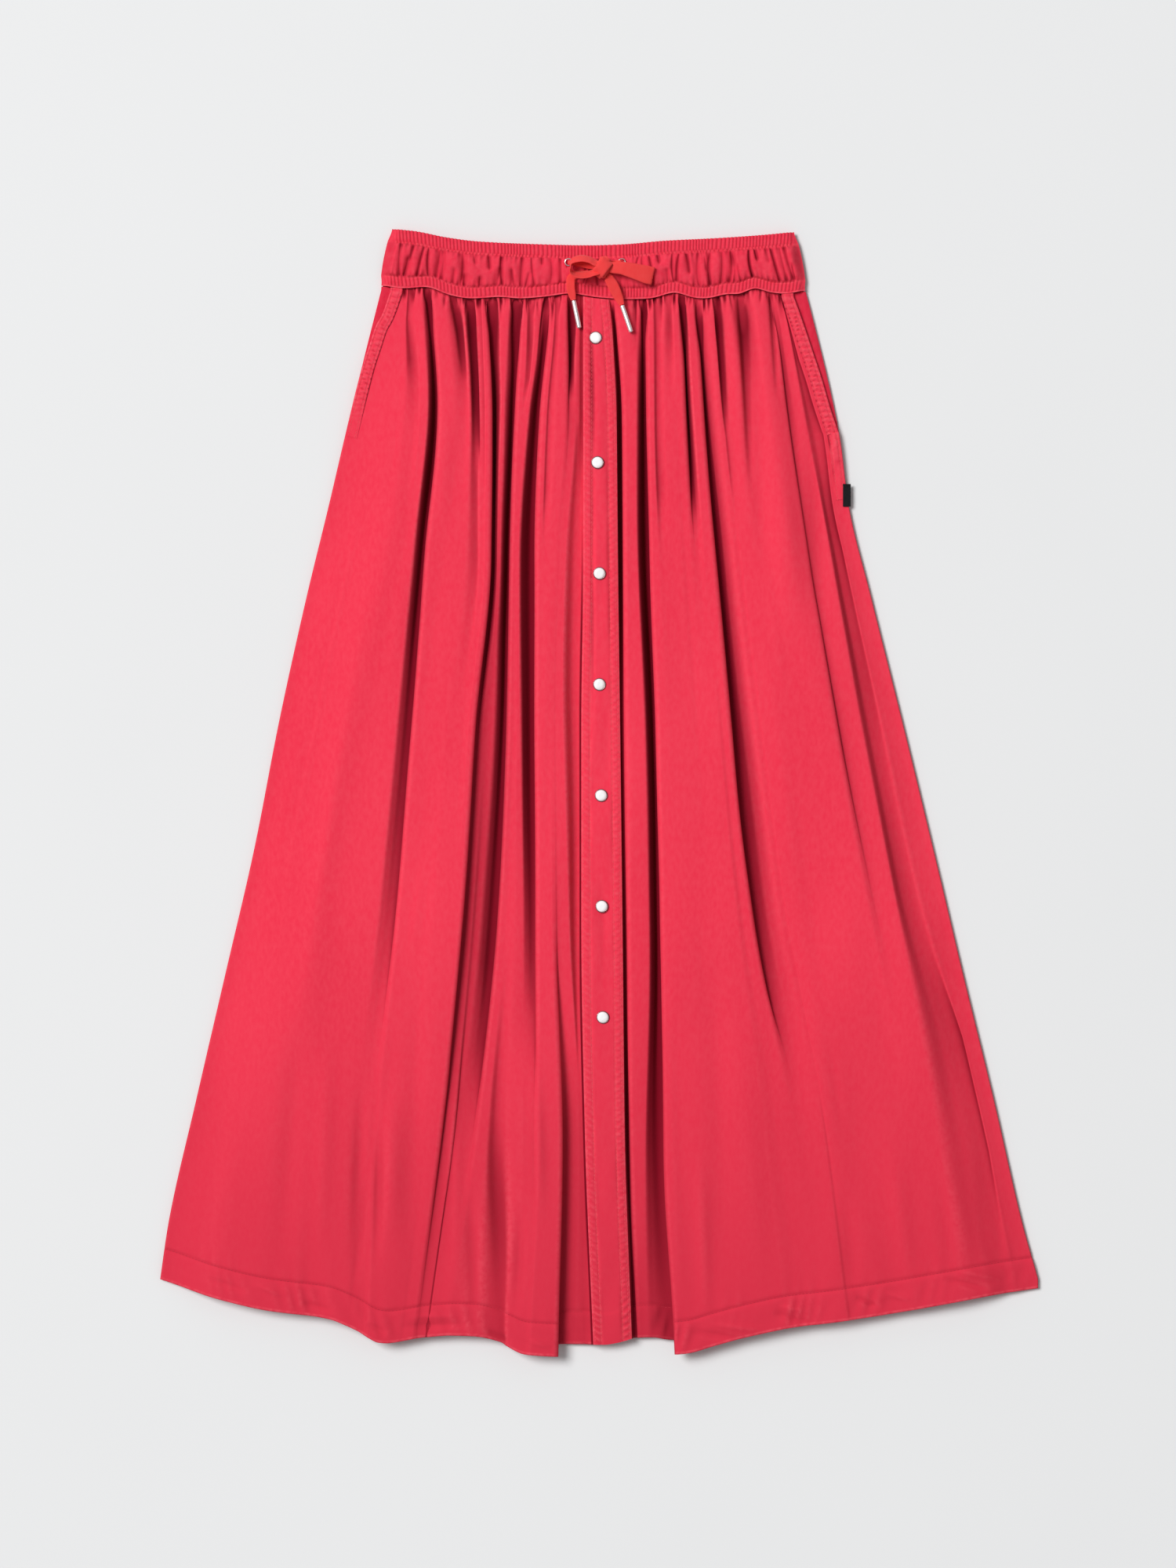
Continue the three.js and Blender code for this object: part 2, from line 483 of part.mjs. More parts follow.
// Snap caps on the placket
function addSnaps() {
  const { ringRadius, capRadius, height } = SNAP;
  const profile = [[0, 0], [ringRadius, 0], [ringRadius, 1], [capRadius, 1.5], [capRadius * 0.65, height * 0.87],
    [0, height]].map(([r, z]) => new THREE.Vector2(r, z));
  for (let i = 0; i < SNAP.count; i += 1) {
    const y = i ? SNAP.second - (i - 1) * SNAP.pitch : SNAP.first;
    const seat = placketTop(y);
    const rise = (placketTop(y + ringRadius).z - placketTop(y - ringRadius).z) / (2 * ringRadius);
    const snap = addPiece(`snap_${i + 1}`, new THREE.LatheGeometry(profile, 14), PEARL);
    snap.rotation.x = Math.PI / 2 + Math.atan(rise);
    snap.position.set(seat.x + SNAP.aside[i], y, seat.z + PLACKET_ACROSS.sink[2] + SEAM_GAP);
  }
}

// A closed shell over rows with different numbers of points: two neighbouring rows are joined like a zip
function shellOfRows(rows) {
  const positions = rows.flatMap((row) => row.flatMap((p) => p.toArray()));
  const starts = rows.map((_, i) => rows.slice(0, i).reduce((sum, row) => sum + row.length, 0));
  const index = [];
  rows.forEach((row, r) => {
    const nextRow = (r + 1) % rows.length;
    const [a, b] = [starts[r], starts[nextRow]];
    const [countA, countB] = [row.length - 1, rows[nextRow].length - 1];
    let [i, j] = [0, 0];
    while (i < countA || j < countB) {
      if (j === countB || (i < countA && (i + 1) / countA <= (j + 1) / countB)) {
        index.push(a + i, b + j, a + i + 1);
        i += 1;
      } else {
        index.push(a + i, b + j, b + j + 1);
        j += 1;
      }
    }
  });
  // The two ends are closed from the last row's end points, which see all the others
  const lastRow = rows.length - 1;
  for (let r = 0; r < lastRow - 1; r += 1) {
    index.push(starts[lastRow], starts[r + 1], starts[r]);
    const ends = [lastRow, r, r + 1].map((k) => starts[k] + rows[k].length - 1);
    index.push(...ends);
  }
  return geometryOf(positions, index);
}

// The waistband's lower edge follows the straight stretches between the fronts' own top points
const topPoints = (distance) => ["left", "right"].flatMap((side) => movedOut([frontGrid(side)[0]], distance)[0])
  .sort((a, b) => a.x - b.x);
const FRONT_TOPS = [topPoints(0), topPoints(-CLOTH)];
function bandSeam(x) {
  const heights = FRONT_TOPS.map((tops) => {
    const next = tops.findIndex((point) => point.x > x);
    if (next < 1) return seamHeight(x) - SEAM_BUTT;
    const [a, b] = [tops[next - 1], tops[next]];
    return lerp(a.y, b.y, (x - a.x) / (b.x - a.x));
  });
  return Math.max(...heights) + SEAM_BUTT;
}

// The front of the waistband: ribs in the two strips, uneven gathers in the channel
function bandPlace(u, fromTop, fromSeam) {
  const [topX, seamX] = [lerp(WAIST_TOP.x[0], WAIST_TOP.x.at(-1), u), lerp(...WAISTBAND.foot, u)];
  const [topY, seamY] = [through(WAIST_TOP.x, WAIST_TOP.y, topX), bandSeam(seamX)];
  const y = fromTop === null ? seamY + fromSeam : topY - fromTop;
  const share = (topY - y) / (topY - seamY);
  return { x: lerp(topX, seamX, share), y };
}
function addWaistband() {
  const band = WAISTBAND;
  const width = WAIST_TOP.x.at(-1) - WAIST_TOP.x[0];
  const ribColumns = 2 * Math.round(width / band.ribPitch);
  const gatherColumns = 2 * Math.round(width / band.gatherPitch);
  const settled = (z, u) => {
    return lerp(band.inside + band.edge.wall, z, smooth(Math.min(u, 1 - u) / band.edge.share));
  };
  const ribRow = (fromTop, fromSeam) => Array.from({ length: ribColumns + 1 }, (_, k) => {
    const u = k / ribColumns;
    const { x, y } = bandPlace(u, fromTop, fromSeam);
    return new THREE.Vector3(x, y, settled(band.stripTop + (k % 2 ? band.rib : 0), u));
  });
  const gatherRow = (fromTop, fromSeam, top, depth) => Array.from({ length: gatherColumns + 1 }, (_, k) => {
    const inside = k > 0 && k < gatherColumns;
    const u = (k + (inside ? 0.3 * Math.sin(k * 2.4) : 0)) / gatherColumns;
    const { x, y } = bandPlace(u, fromTop, fromSeam);
    const trough = depth * (0.75 + 0.25 * Math.sin(k * 1.7));
    return new THREE.Vector3(x, y, settled(top + (k % 2 ? band.gather / 2 : -trough), u));
  });
  const columns = band.insideColumns;
  const insideRow = (fromTop, fromSeam) => Array.from({ length: columns + 1 }, (_, k) => {
    const { x, y } = bandPlace(k / columns, fromTop, fromSeam);
    return new THREE.Vector3(x, y, band.inside);
  });
  const { strip, puff, channelTop, gather } = band;
  const shoulder = [channelTop - 0.2 * puff, gather / 2];
  const middle = strip + 4 * puff;
  const rows = [ribRow(0, null), ribRow(strip, null), gatherRow(strip + puff, null, ...shoulder),
    gatherRow(middle, null, channelTop, gather), gatherRow(null, strip + puff, ...shoulder),
    ribRow(null, strip), ribRow(null, 0), insideRow(null, strip + 1), insideRow(0, null)];
  addPiece("waistband_front", shellOfRows(rows), DYED);

  // The back of the waistband rests flat
  const heights = [band.backWall, band.backWall, BACK_WALL, BACK_WALL];
  const layer = (heightOf) => heights.map((height, r) => Array.from({ length: columns + 1 }, (_, k) => {
    const place = bandPlace(k / columns, BACK.inset / 2, null);
    const foot = lerp(band.foot[0] + BACK.inset / 2, band.foot[1] - BACK.inset / 2, k / columns);
    const y = [place.y, ...band.backStep, backSeam(foot)][r];
    const x = lerp(place.x, foot, (place.y - y) / (place.y - backSeam(foot)));
    return new THREE.Vector3(x, y, heightOf(height));
  }));
  addPiece("waistband_back", wallBetween(layer((height) => height), layer(() => 0)), DYED_DARK);
}

// Eyelets in the channel
function addEyelets() {
  EYELET.x.forEach((x, i) => {
    const ring = new THREE.TorusGeometry(EYELET.radius - EYELET.wire / 2, EYELET.wire / 2, 6, 16);
    const eyelet = addPiece(i ? "eyelet_right" : "eyelet_left", ring, METAL);
    eyelet.position.set(x, EYELET.y, EYELET.z);
  });
}

// The drawstring: each stretch is a flat ribbon along its route. Columns: x, y, z, width.
// across: the direction of the ribbon's width
const DRAWSTRING = {
  left_lead: { across: [0, 1, 0], route: [[-25.9, 445.4, 11.4, 3], [-24.9, 445.4, 12.9, 3.4],
    [-21, 445, 13.2, 4.5], [-15, 443.8, 13, 5.5], [-9, 442.8, 13, 6], [-5, 442.2, 13.8, 6], [-2.9, 441.8, 15, 6]] },
  left_loop: { across: [0, -0.6, 0.8], route: [[-3.8, 444.4, 19, 10.5], [-8, 446.6, 19.2, 10.5],
    [-14, 447.6, 19.4, 10.5], [-20, 446.4, 19.3, 10.5], [-23.6, 442.8, 19.1, 10.5], [-23.6, 438, 19, 10.5],
    [-20, 434.6, 18.9, 10.5], [-14.5, 433.6, 18.9, 10.5], [-9, 434.2, 19, 10.5], [-4.6, 436, 19, 10.5]] },
  left_tail: { across: [0, 1, 0], route: [[-4, 436.2, 13.6, 4.4], [-8, 435.8, 12.6, 5], [-14, 435.6, 12.3, 5.6],
    [-20.4, 434.6, 12.2, 6.8], [-24, 430.5, 12.4, 7.2], [-24, 424.5, 12.2, 7.2], [-22.8, 418.5, 11.8, 6.4],
    [-21.6, 413.9, 11.4, 4.4]] },
  right_lead: { across: [0, 1, 0], route: [[19, 445.6, 11.4, 3], [18, 445.5, 12.7, 3.4],
    [14.8, 445, 12.6, 4.2], [12.4, 444.6, 12.8, 4.4], [10.2, 444.2, 13.6, 4.2]] },
  right_loop: { across: [0.06, 1, 0], route: [[10.2, 440.2, 18.6, 9], [18, 439.8, 18.8, 10.5],
    [26, 438, 18.1, 12], [34, 435.8, 16.8, 13.4], [41, 434, 15.4, 14.6], [44.6, 433.6, 13.9, 15],
    [42, 434.8, 12.6, 14.4], [34, 437.4, 12.7, 12.4], [26, 439.4, 13.4, 11], [18, 440.8, 14.3, 9],
    [10.6, 440.6, 15.4, 6]] },
  right_tail: { across: [0.89, 0.45, 0], route: [[8, 431.6, 15.6, 8], [11.4, 426, 14.4, 9], [14, 420.6, 13.4, 8.8],
    [16.6, 415.2, 12.7, 7.4], [19, 409.6, 12.4, 4.4]] },
};
const KNOT = { centre: [3, 440.5, 17.4], size: [5.9, 9.4, 5], lean: -18 };
const AGLETS = { left: [[-21.4, 413.3], [-16.7, 390.3]], right: [[19.3, 409], [26.9, 386.8]] };

function ribbonGeometry({ across, route }) {
  const wide = new THREE.Vector3(...across).normalize();
  const half = RIBBON.thick / 2;
  const section = [[-0.5, 0], [-0.44, half], [0, half], [0.44, half], [0.5, 0], [0.44, -half], [0, -half],
    [-0.44, -half]];
  const centres = route.map(([x, y, z]) => new THREE.Vector3(x, y, z));
  let before = wide;
  const rings = centres.map((centre, i) => {
    const ahead = centres[Math.min(i + 1, centres.length - 1)];
    const along = ahead.clone().sub(centres[Math.max(i - 1, 0)]).normalize();
    const side = wide.clone().addScaledVector(along, -wide.dot(along));
    // Where the route turns along the width's direction, the ribbon keeps its flat side up
    if (side.length() < 0.75) side.crossVectors(new THREE.Vector3(0, 0, 1), along);
    // It never turns over between two rings
    if (side.dot(before) < 0) side.negate();
    side.normalize();
    before = side;
    const face = new THREE.Vector3().crossVectors(side, along);
    return section.map(([s, t]) => {
      return centre.clone().addScaledVector(side, s * route[i][3]).addScaledVector(face, t);
    });
  });
  return tubeOfRings(rings);
}
// A closed tube through rings of the same number of points
function tubeOfRings(rings) {
  const count = rings[0].length;
  const positions = rings.flatMap((ring) => ring.flatMap((p) => p.toArray()));
  const index = [];
  for (let r = 0; r < rings.length - 1; r += 1) {
    for (let k = 0; k < count; k += 1) {
      const [a, b] = [r * count + k, r * count + ((k + 1) % count)];
      index.push(a, b, b + count, a, b + count, a + count);
    }
  }
  const last = (rings.length - 1) * count;
  for (let k = 1; k < count - 1; k += 1) {
    index.push(0, k + 1, k, last, last + k, last + k + 1);
  }
  return geometryOf(positions, index);
}
function addDrawstring() {
  for (const [name, stretch] of Object.entries(DRAWSTRING)) {
    addPiece(`ribbon_${name}`, ribbonGeometry(stretch), RIBBON_RED);
  }
  // The knot is a soft pillow: a ball pressed towards a box
  const pillow = new THREE.SphereGeometry(1, 16, 12);
  const spots = pillow.attributes.position;
  for (let i = 0; i < spots.count; i += 1) {
    const spot = new THREE.Vector3().fromBufferAttribute(spots, i);
    const cubes = Math.abs(spot.x) ** 3 + Math.abs(spot.y) ** 3 + Math.abs(spot.z) ** 3;
    spot.divideScalar(Math.cbrt(cubes));
    spots.setXYZ(i, spot.x, spot.y, spot.z);
  }
  const knot = addPiece("ribbon_knot", pillow, RIBBON_RED);
  knot.scale.set(...KNOT.size);
  knot.position.set(...KNOT.centre);
  knot.rotation.z = THREE.MathUtils.degToRad(KNOT.lean);
  for (const [side, [start, end]] of Object.entries(AGLETS)) {
    const along = new THREE.Vector3(end[0] - start[0], end[1] - start[1], 0);
    const tube = new THREE.CylinderGeometry(AGLET.radius, AGLET.radius, along.length(), 12);
    const aglet = addPiece(`aglet_${side}`, tube, METAL);
    aglet.position.set((start[0] + end[0]) / 2, (start[1] + end[1]) / 2, AGLET.z[side]);
    aglet.quaternion.setFromUnitVectors(new THREE.Vector3(0, 1, 0), along.normalize());
  }
}

// A small plain tab that wraps the right side seam
function addSideTab() {
  const { width, height, thick, outward, y } = SIDE_TAB;
  const down = (sideTop.right - y) / (sideTop.right - sideHem.right);
  const right = outlineEdge("right", down) + outward;
  const under = loft(right - width, down) + 2 * SEAM_GAP;
  const tab = addPiece("side_tab", new THREE.BoxGeometry(width, height, thick), BLACK_TAPE);
  tab.position.set(right - width / 2, y, under + thick / 2);
}

addFront("left");
addFront("right");
addBearer("left");
addBearer("right");
addBack();
addPlacket();
addSnaps();
addWaistband();
addEyelets();
addDrawstring();
addSideTab();

export default group;
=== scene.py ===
import math

import bpy
import numpy as np
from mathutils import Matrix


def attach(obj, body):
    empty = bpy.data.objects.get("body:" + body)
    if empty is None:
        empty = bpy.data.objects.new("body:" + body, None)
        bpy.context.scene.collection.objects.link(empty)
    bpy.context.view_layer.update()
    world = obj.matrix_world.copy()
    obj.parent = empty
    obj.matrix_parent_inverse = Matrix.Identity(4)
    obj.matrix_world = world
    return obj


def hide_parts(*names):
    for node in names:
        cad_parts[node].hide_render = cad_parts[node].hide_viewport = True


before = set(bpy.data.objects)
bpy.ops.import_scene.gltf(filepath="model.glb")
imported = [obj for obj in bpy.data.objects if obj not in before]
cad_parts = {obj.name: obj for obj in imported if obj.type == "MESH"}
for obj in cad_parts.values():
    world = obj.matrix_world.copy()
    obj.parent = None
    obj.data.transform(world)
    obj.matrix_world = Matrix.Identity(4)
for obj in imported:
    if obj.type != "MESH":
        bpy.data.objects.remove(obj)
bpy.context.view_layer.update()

MM = 0.001
random = np.random.default_rng(11)

# Driving sizes, the same as the solids' own
BACK_WALL = 1.8
FLOOR = 3.6
HEM_SHARE = 0.969
HALF_WIDTH = 369.4
HALF_LENGTH = 473.6
SEAM_BUTT = 0.6
SHOULDER = 62
LIP = {"radius": 2.6, "over": 2.0}

OUTLINE = {
    "y": [424, 350, 297, 244.5, 165, 60, -46, -151.5, -257, -363, -410],
    "left": [-183.5, -202, -214.7, -227, -246.3, -269.4, -290, -314.3, -338.7, -362.5, -HALF_WIDTH],
    "right": [173.5, 192, 203, 209.7, 229, 255.3, 281, 306, 331.8, 356.2, HALF_WIDTH],
}
POCKET_EDGE = {
    "left": {"y": [424, 403, 395, 379, 362, 340], "x": [-175.5, -183, -187.6, -193, -198.6, -204.4]},
    "right": {"y": [420, 411, 386, 370, 350, 327, 306], "x": [163.5, 166.8, 175.4, 180.7, 187.3, 194, 201]},
}
POCKET_BAND = {"width": 10, "thick": 1, "lowest": 300}
POCKET_BEARER = {"under": 18, "lowest": 295, "thick": 1.5}
SEAM = {
    "x": [-184, -164, -145, -128, -108, -82, -69, -42, -24, -9, 4, 24, 43, 53, 63, 80, 90, 109, 119, 130, 142,
          156, 175],
    "y": [427, 424, 425.5, 419, 415.5, 417, 415.5, 417.5, 420, 417.5, 416, 415, 415.5, 418, 421, 416, 415.5,
          419.5, 419, 425, 421, 419.5, 423],
}
WAIST_TOP = {
    "x": [-174.4, -155, -128, -102, -62, -9, 17, 57, 96, 136, 164.2],
    "y": [HALF_LENGTH, 471.6, 466.3, 463, 461, 459.7, 460.4, 463.7, 465.6, 468.3, 471],
}
HEM = {
    "left": {
        "x": [-HALF_WIDTH, -320, -280, -227, -207, -181, -148, -118, -89, -62, -34],
        "y": [-410, -425.4, -434.6, -442, -450, -462.3, -457.7, -455.7, -459.7, -471.6, -HALF_LENGTH],
    },
    "centre": {"x": [-34, 4, 17, 30, 43, 60], "y": [-464.3, -464.3, -462.3, -459, -458.4, -461]},
    "right": {
        "x": [64, 76, 90, 116, 142, 162, 189, 222, 255, 288, 321, HALF_WIDTH],
        "y": [-471.6, -470.3, -466.3, -459, -453, -449, -445.8, -441.2, -436, -430, -424, -417.5],
    },
}
DOWN = [0, 0.03, 0.115, 0.25, 0.41, 0.6, 0.8, 1]
DOWN_COARSE = [0, 0.25, 0.6, 1]
LOFT = {"top": [6.6, 9.5, 15, 18, 19.5, 19, 17, 16], "side": [5.6, 5.6, 5.6, 4, 3.8, 3.8, 3.8, 3.8]}

# Folds of each front. lip: the side whose edge hangs over the fold (1 right, -1 left, 0 a soft trough);
# x and depth are given at DOWN, gap and ridge at DOWN_COARSE.
COLUMNS = ("lip", "x", "depth", "gap", "ridge", "slope")
LEFT_FOLDS = [dict(zip(COLUMNS, row)) for row in (
    (0, [-163, -161, -156, -166, -185, -207, -228, -240], [2, 3.5, 1.5, 0, 0, 0, 0, 1.5], [5, 10, 10, 10],
     [1, 1, 1, 1], 4),
    (1, [-144, -141, -136, -146, -157, -171, -189, -197], [2, 10, 14, 11, 7, 5, 2, 3], [3.5, 7, 11, 12],
     [1, 1, 1.05, 1.1], 3.5),
    (0, [-122, -118, -113, -120, -133, -146, -162, -178], [2.5, 4, 1, 0, 0, 0, 0, 0], [5, 8, 8, 8],
     [1, 1, 1.1, 1.05], 4),
    (0, [-109, -107.5, -104.5, -104, -118, -131, -148, -168], [3, 6, 8, 2, 0, 0, 0, 0], [3, 7, 7, 7],
     [1, 1, 1.1, 1], 4),
    (0, [-98, -96.5, -97, -97, -111, -122, -140, -161], [3, 4, 1, 0, 0, 0, 0, 0], [3, 4, 4, 4],
     [1, 1.05, 1.1, 1], 3),
    (-1, [-93, -92, -89.6, -90, -103, -114, -131.5, -154], [3, 12, 14, 9, 9, 9, 5, 2], [6, 3.5, 4, 8],
     [1, 0.8, 0.55, 0.85], 3),
    (1, [-66.8, -68, -71.4, -75.7, -78, -86, -104.5, -131], [3, 13, 15, 15, 16, 12, 3, 0], [5, 5, 10, 12],
     [1, 0.85, 0.75, 0.9], 4.5),
    (0, [-58, -58, -62, -69.5, -71, -75, -87, -83], [3, 3, 0, 0, 0, 0, 3, 4], [3, 3, 6, 8],
     [1, 0.85, 0.8, 0.95], 3),
    (1, [-43, -44, -50.3, -54.3, -54.3, -53.6, -53.6, -61], [2, 5, 11, 14, 14, 9, 2, 2], [2, 10.5, 8, 8],
     [1, 1.05, 1.1, 1.1], 3),
    (0, [-38.4, -39.5, -43, -46, -46, -45, -44, -48], [3, 6, 4, 0, 0, 0, 0, 0], [3, 5, 5, 5],
     [1, 1.05, 1.1, 1.1], 3),
    (-1, [-26, -25.6, -25.5, -33, -37, -36, -30.5, -34.5], [3, 9, 3, 0.5, 0.5, 3, 12, 13], [4, 3, 9, 14],
     [0.95, 0.72, 0.6, 0.35], 2),
)]
RIGHT_FOLDS = [dict(zip(COLUMNS, row)) for row in (
    (1, [11, 14.4, 19, 19.8, 20.6, 22.8, 24.8, 31], [2, 8, 12, 12, 8, 7, 6, 4], [2, 4, 2.4, 3],
     [1, 0.95, 0.8, 0.45], 1.5),
    (1, [38, 38.5, 39.4, 41.7, 47.4, 51.1, 53.3, 63.2], [3, 9, 15, 16, 16, 16, 15, 13], [3, 6, 6, 19],
     [1, 1.1, 1.1, 1.15], 4),
    (0, [47.4, 48, 48.5, 54, 62, 67, 71, 80], [2.5, 4, 4, 0, 0, 0, 0, 0], [4, 6, 6, 6],
     [1, 1.05, 1.1, 1.1], 3),
    (0, [59, 59.5, 62, 69, 78, 86, 95, 105], [2.5, 2, 0, 0, 0, 0, 0, 0], [3, 4, 4, 4],
     [1, 1, 1.1, 1.1], 3),
    (-1, [67.8, 70, 73.1, 80.4, 92, 108, 130, 150], [2, 7, 9, 2, 0, 0, 0, 0], [2, 5, 4, 4],
     [1, 1, 1.05, 1.05], 3),
    (-1, [82.3, 84, 88.3, 98.2, 110.4, 129.2, 165, 190], [2, 5, 8, 9, 11, 9, 1, 0], [2, 8, 15, 10],
     [1, 0.95, 0.95, 1], 8),
    (0, [97.5, 101, 106, 119, 136, 157, 190, 215], [3, 7, 3, 0, 0, 0, 0, 0], [3, 5, 5, 5],
     [1, 1, 1, 1], 3),
    (0, [118, 122, 131, 143, 165, 190, 225, 250], [3, 5, 2, 0.5, 0, 0, 0, 1], [4, 8, 10, 10],
     [1, 1, 1, 1], 3),
    (-1, [145, 149, 157.6, 174.7, 197.2, 228, 262, 290], [2, 4, 5, 4.5, 5, 3, 0, 0], [2, 12, 14, 8],
     [0.85, 0.68, 0.76, 1], 6),
    (0, [152.2, 160, 184, 203, 230, 262, 318, 345], [1, 0.5, 0, 0, 0, 0.5, 1.2, 0.8], [2, 10, 12, 12],
     [1, 0.78, 0.85, 1], 3),
)]
PLACKET = {
    "left": [-13.4, -13.4, -13.4, -13.4, -15, -15, -12, -5],
    "right": [8.4, 11, 14.6, 15.8, 17.6, 19.6, 21.5, 27.5],
    "rest": [5.2, 7.6, 11, 12, 11.5, 11, 10.5, 9.5],
    "thick": 2.4,
    "overlap": 9,
}
SHELF = {"left": 1, "left_drop": 1.2, "under": 1.5, "right": 1.9}
OPEN_CLOTH = (0.33, 0.67)
SNAP = {
    "first": 382, "second": 276.9, "pitch": 93.2, "count": 7, "dome": 4.7,
    "aside": [-2, -2.2, -1, -1, 0, 0, 0],
}
BAND = {
    "foot": (-183.5, 173.5), "strips": (9.5, 8.5), "strip_top": 6.9, "rib": 1.0, "rib_pitch": 3.0,
    "rib_slant": 0.9, "channel": 3.4, "inside": 3.9, "seam_ridge": 1.0,
}
EYELET = {"x": (-25.9, 19), "y": 445.6, "z": 11.2, "radius": 3.3, "wire": 1}
AGLET = {"radius": 2, "z": {"left": 11.4, "right": 12.4}}
AGLETS = {"left": ((-21.4, 413.3), (-16.7, 390.3)), "right": ((19.3, 409), (26.9, 386.8))}
SIDE_TAB = {"width": 6.6, "height": 19, "thick": 1, "outward": 3, "y": 250}
RIBBON_THICK = 1.2
KNOT = {"centre": (3, 440.5, 17.4), "size": (5.9, 9.4, 5), "lean": -18}

# Soft ridges (height above 0) and troughs on the fronts, from one end to the other: x, y, x, y, width, height
CREASES = (
    (-174, -250, -176, -380, 9, 2.4), (-199, -240, -205, -410, 6, -2.2), (-185, -270, -187, -400, 4.5, -2.0),
    (-88, -275, -80, -440, 6, -2.6), (-66, -345, -70, -440, 5, -2.0), (-54, -230, -50, -360, 6, 2.2),
    (-235, 300, -300, -120, 22, 2.0), (-262, 120, -322, -330, 26, -1.6), (-222, 60, -250, -240, 14, 1.5),
    (-296, -80, -330, -400, 12, 1.3), (-252, -180, -268, -420, 10, -1.5), (-228, -200, -236, -430, 8, 1.6),
    (-150, -140, -160, -430, 9, -1.6), (-120, -220, -122, -440, 7, 1.8), (-108, -330, -104, -450, 5, -1.6),
    (212, 205, 240, 7, 7, -0.8), (236, 40, 272, -135, 9, -0.9), (281, -125, 316, -250, 9, -1.2),
    (262, 10, 300, -170, 11, 0.7), (296, -180, 330, -360, 14, 1.3), (222, -60, 256, -300, 16, -1.4),
    (180, -120, 206, -400, 15, 1.5), (150, -60, 172, -330, 12, -1.5), (120, -180, 134, -430, 13, 1.6),
    (96, -120, 104, -420, 10, -1.2), (84, -300, 90, -455, 6, 1.6), (206, -330, 216, -440, 8, -1.5),
    (246, -300, 262, -430, 9, 1.3), (286, -320, 300, -425, 8, -1.4), (326, -330, 340, -418, 8, 1.2),
    (150, 250, 160, 120, 10, 1.2), (128, 330, 138, 180, 7, -1.0), (-180, 340, -196, 180, 12, 1.3),
    (-152, 300, -166, 160, 8, -1.0), (-128, 340, -132, 210, 7, 1.1),
    (-108.5, 480, -100.5, 262, 2.6, -5.5), (-124, 450, -113, 345, 2.4, -3), (98, 440, 107, 300, 2.4, -3.4),
    (118, 470, 128, 250, 3.2, -3.2), (143, 460, 150, 330, 2.4, -2.2), (176, 330, 186, 150, 6, -1.6),
)
# Long puckers in the turned hem, drawn as creases are
HEM_PUCKERS = (
    (76, -452, 130, -461, 3.2, -1.6), (92, -446, 140, -452, 2.6, 1.2), (146, -437, 182, -447, 3, -1.7),
    (150, -431, 176, -436, 2.4, 1.1), (215, -424, 236, -433, 2.6, -1.5), (240, -420, 262, -427, 2.4, 1.1),
    (288, -408, 328, -418, 2.8, -1.6), (300, -402, 340, -410, 2.4, 1.0), (-168, -449, -110, -447, 3.2, -1.6),
    (-160, -440, -120, -440, 2.6, 1.2), (-196, -446, -178, -455, 2.8, -1.4), (-250, -428, -222, -436, 2.6, -1.2),
    (-330, -408, -296, -420, 2.8, -1.2), (-292, -412, -262, -424, 2.4, 1.1), (-96, -452, -74, -462, 3, -1.5),
    (-60, -460, -40, -466, 2.6, 1.2),
)


# Curves
def lerp(a, b, share):
    return a + (b - a) * share


def smooth(share):
    share = np.clip(share, 0, 1)
    return share * share * (3 - 2 * share)


def harmonic(before, after):
    same = before * after > 0
    return np.where(same, 2 * before * after / np.where(same, before + after, 1), 0)


def hermite(a, b, leaving, arriving, s):
    s2, s3 = s * s, s ** 3
    return ((2 * s3 - 3 * s2 + 1) * a + (s3 - 2 * s2 + s) * leaving
            + (3 * s2 - 2 * s3) * b + (s3 - s2) * arriving)


def through(keys, values, at):
    """A smooth curve through the values given at rising keys."""
    keys, values = np.asarray(keys, float), np.asarray(values, float)
    at = np.clip(np.asarray(at, float), keys[0], keys[-1])
    slope = np.diff(values) / np.diff(keys)
    tangent = np.concatenate((slope[:1], harmonic(slope[:-1], slope[1:]), slope[-1:]))
    k = np.clip(np.searchsorted(keys, at, side="right") - 1, 0, len(keys) - 2)
    span = keys[k + 1] - keys[k]
    return hermite(values[k], values[k + 1], tangent[k] * span, tangent[k + 1] * span, (at - keys[k]) / span)


def at_height(y, keys, values):
    return through([-k for k in keys], values, -np.asarray(y, float))


def seam_height(x):
    """The waist seam's height, evened out over a few millimetres."""
    x = np.asarray(x, float)
    return sum(through(SEAM["x"], SEAM["y"], x + step) for step in (-6, -4, -2, 0, 2, 4, 6)) / 7


def smooth_line(points, spacing, fewest=3, most=12):
    """Points between the control points of each row, on a smooth curve through them: points[row, column]."""
    chord = np.maximum(np.linalg.norm(np.diff(points[..., :2], axis=1), axis=-1), 0.01)[..., None]
    slope = np.diff(points, axis=1) / chord
    tangent = np.concatenate((slope[:, :1], harmonic(slope[:, :-1], slope[:, 1:]), slope[:, -1:]), axis=1)
    made = []
    for k, length in enumerate(chord.mean(axis=0)[:, 0]):
        count = int(np.clip(math.ceil(length / spacing), fewest, most))
        s = (np.arange(count) / count)[None, :, None]
        span = chord[:, k, None]
        made.append(hermite(points[:, k, None], points[:, k + 1, None], tangent[:, k, None] * span,
                            tangent[:, k + 1, None] * span, s))
    return np.concatenate(made + [points[:, -1:]], axis=1)


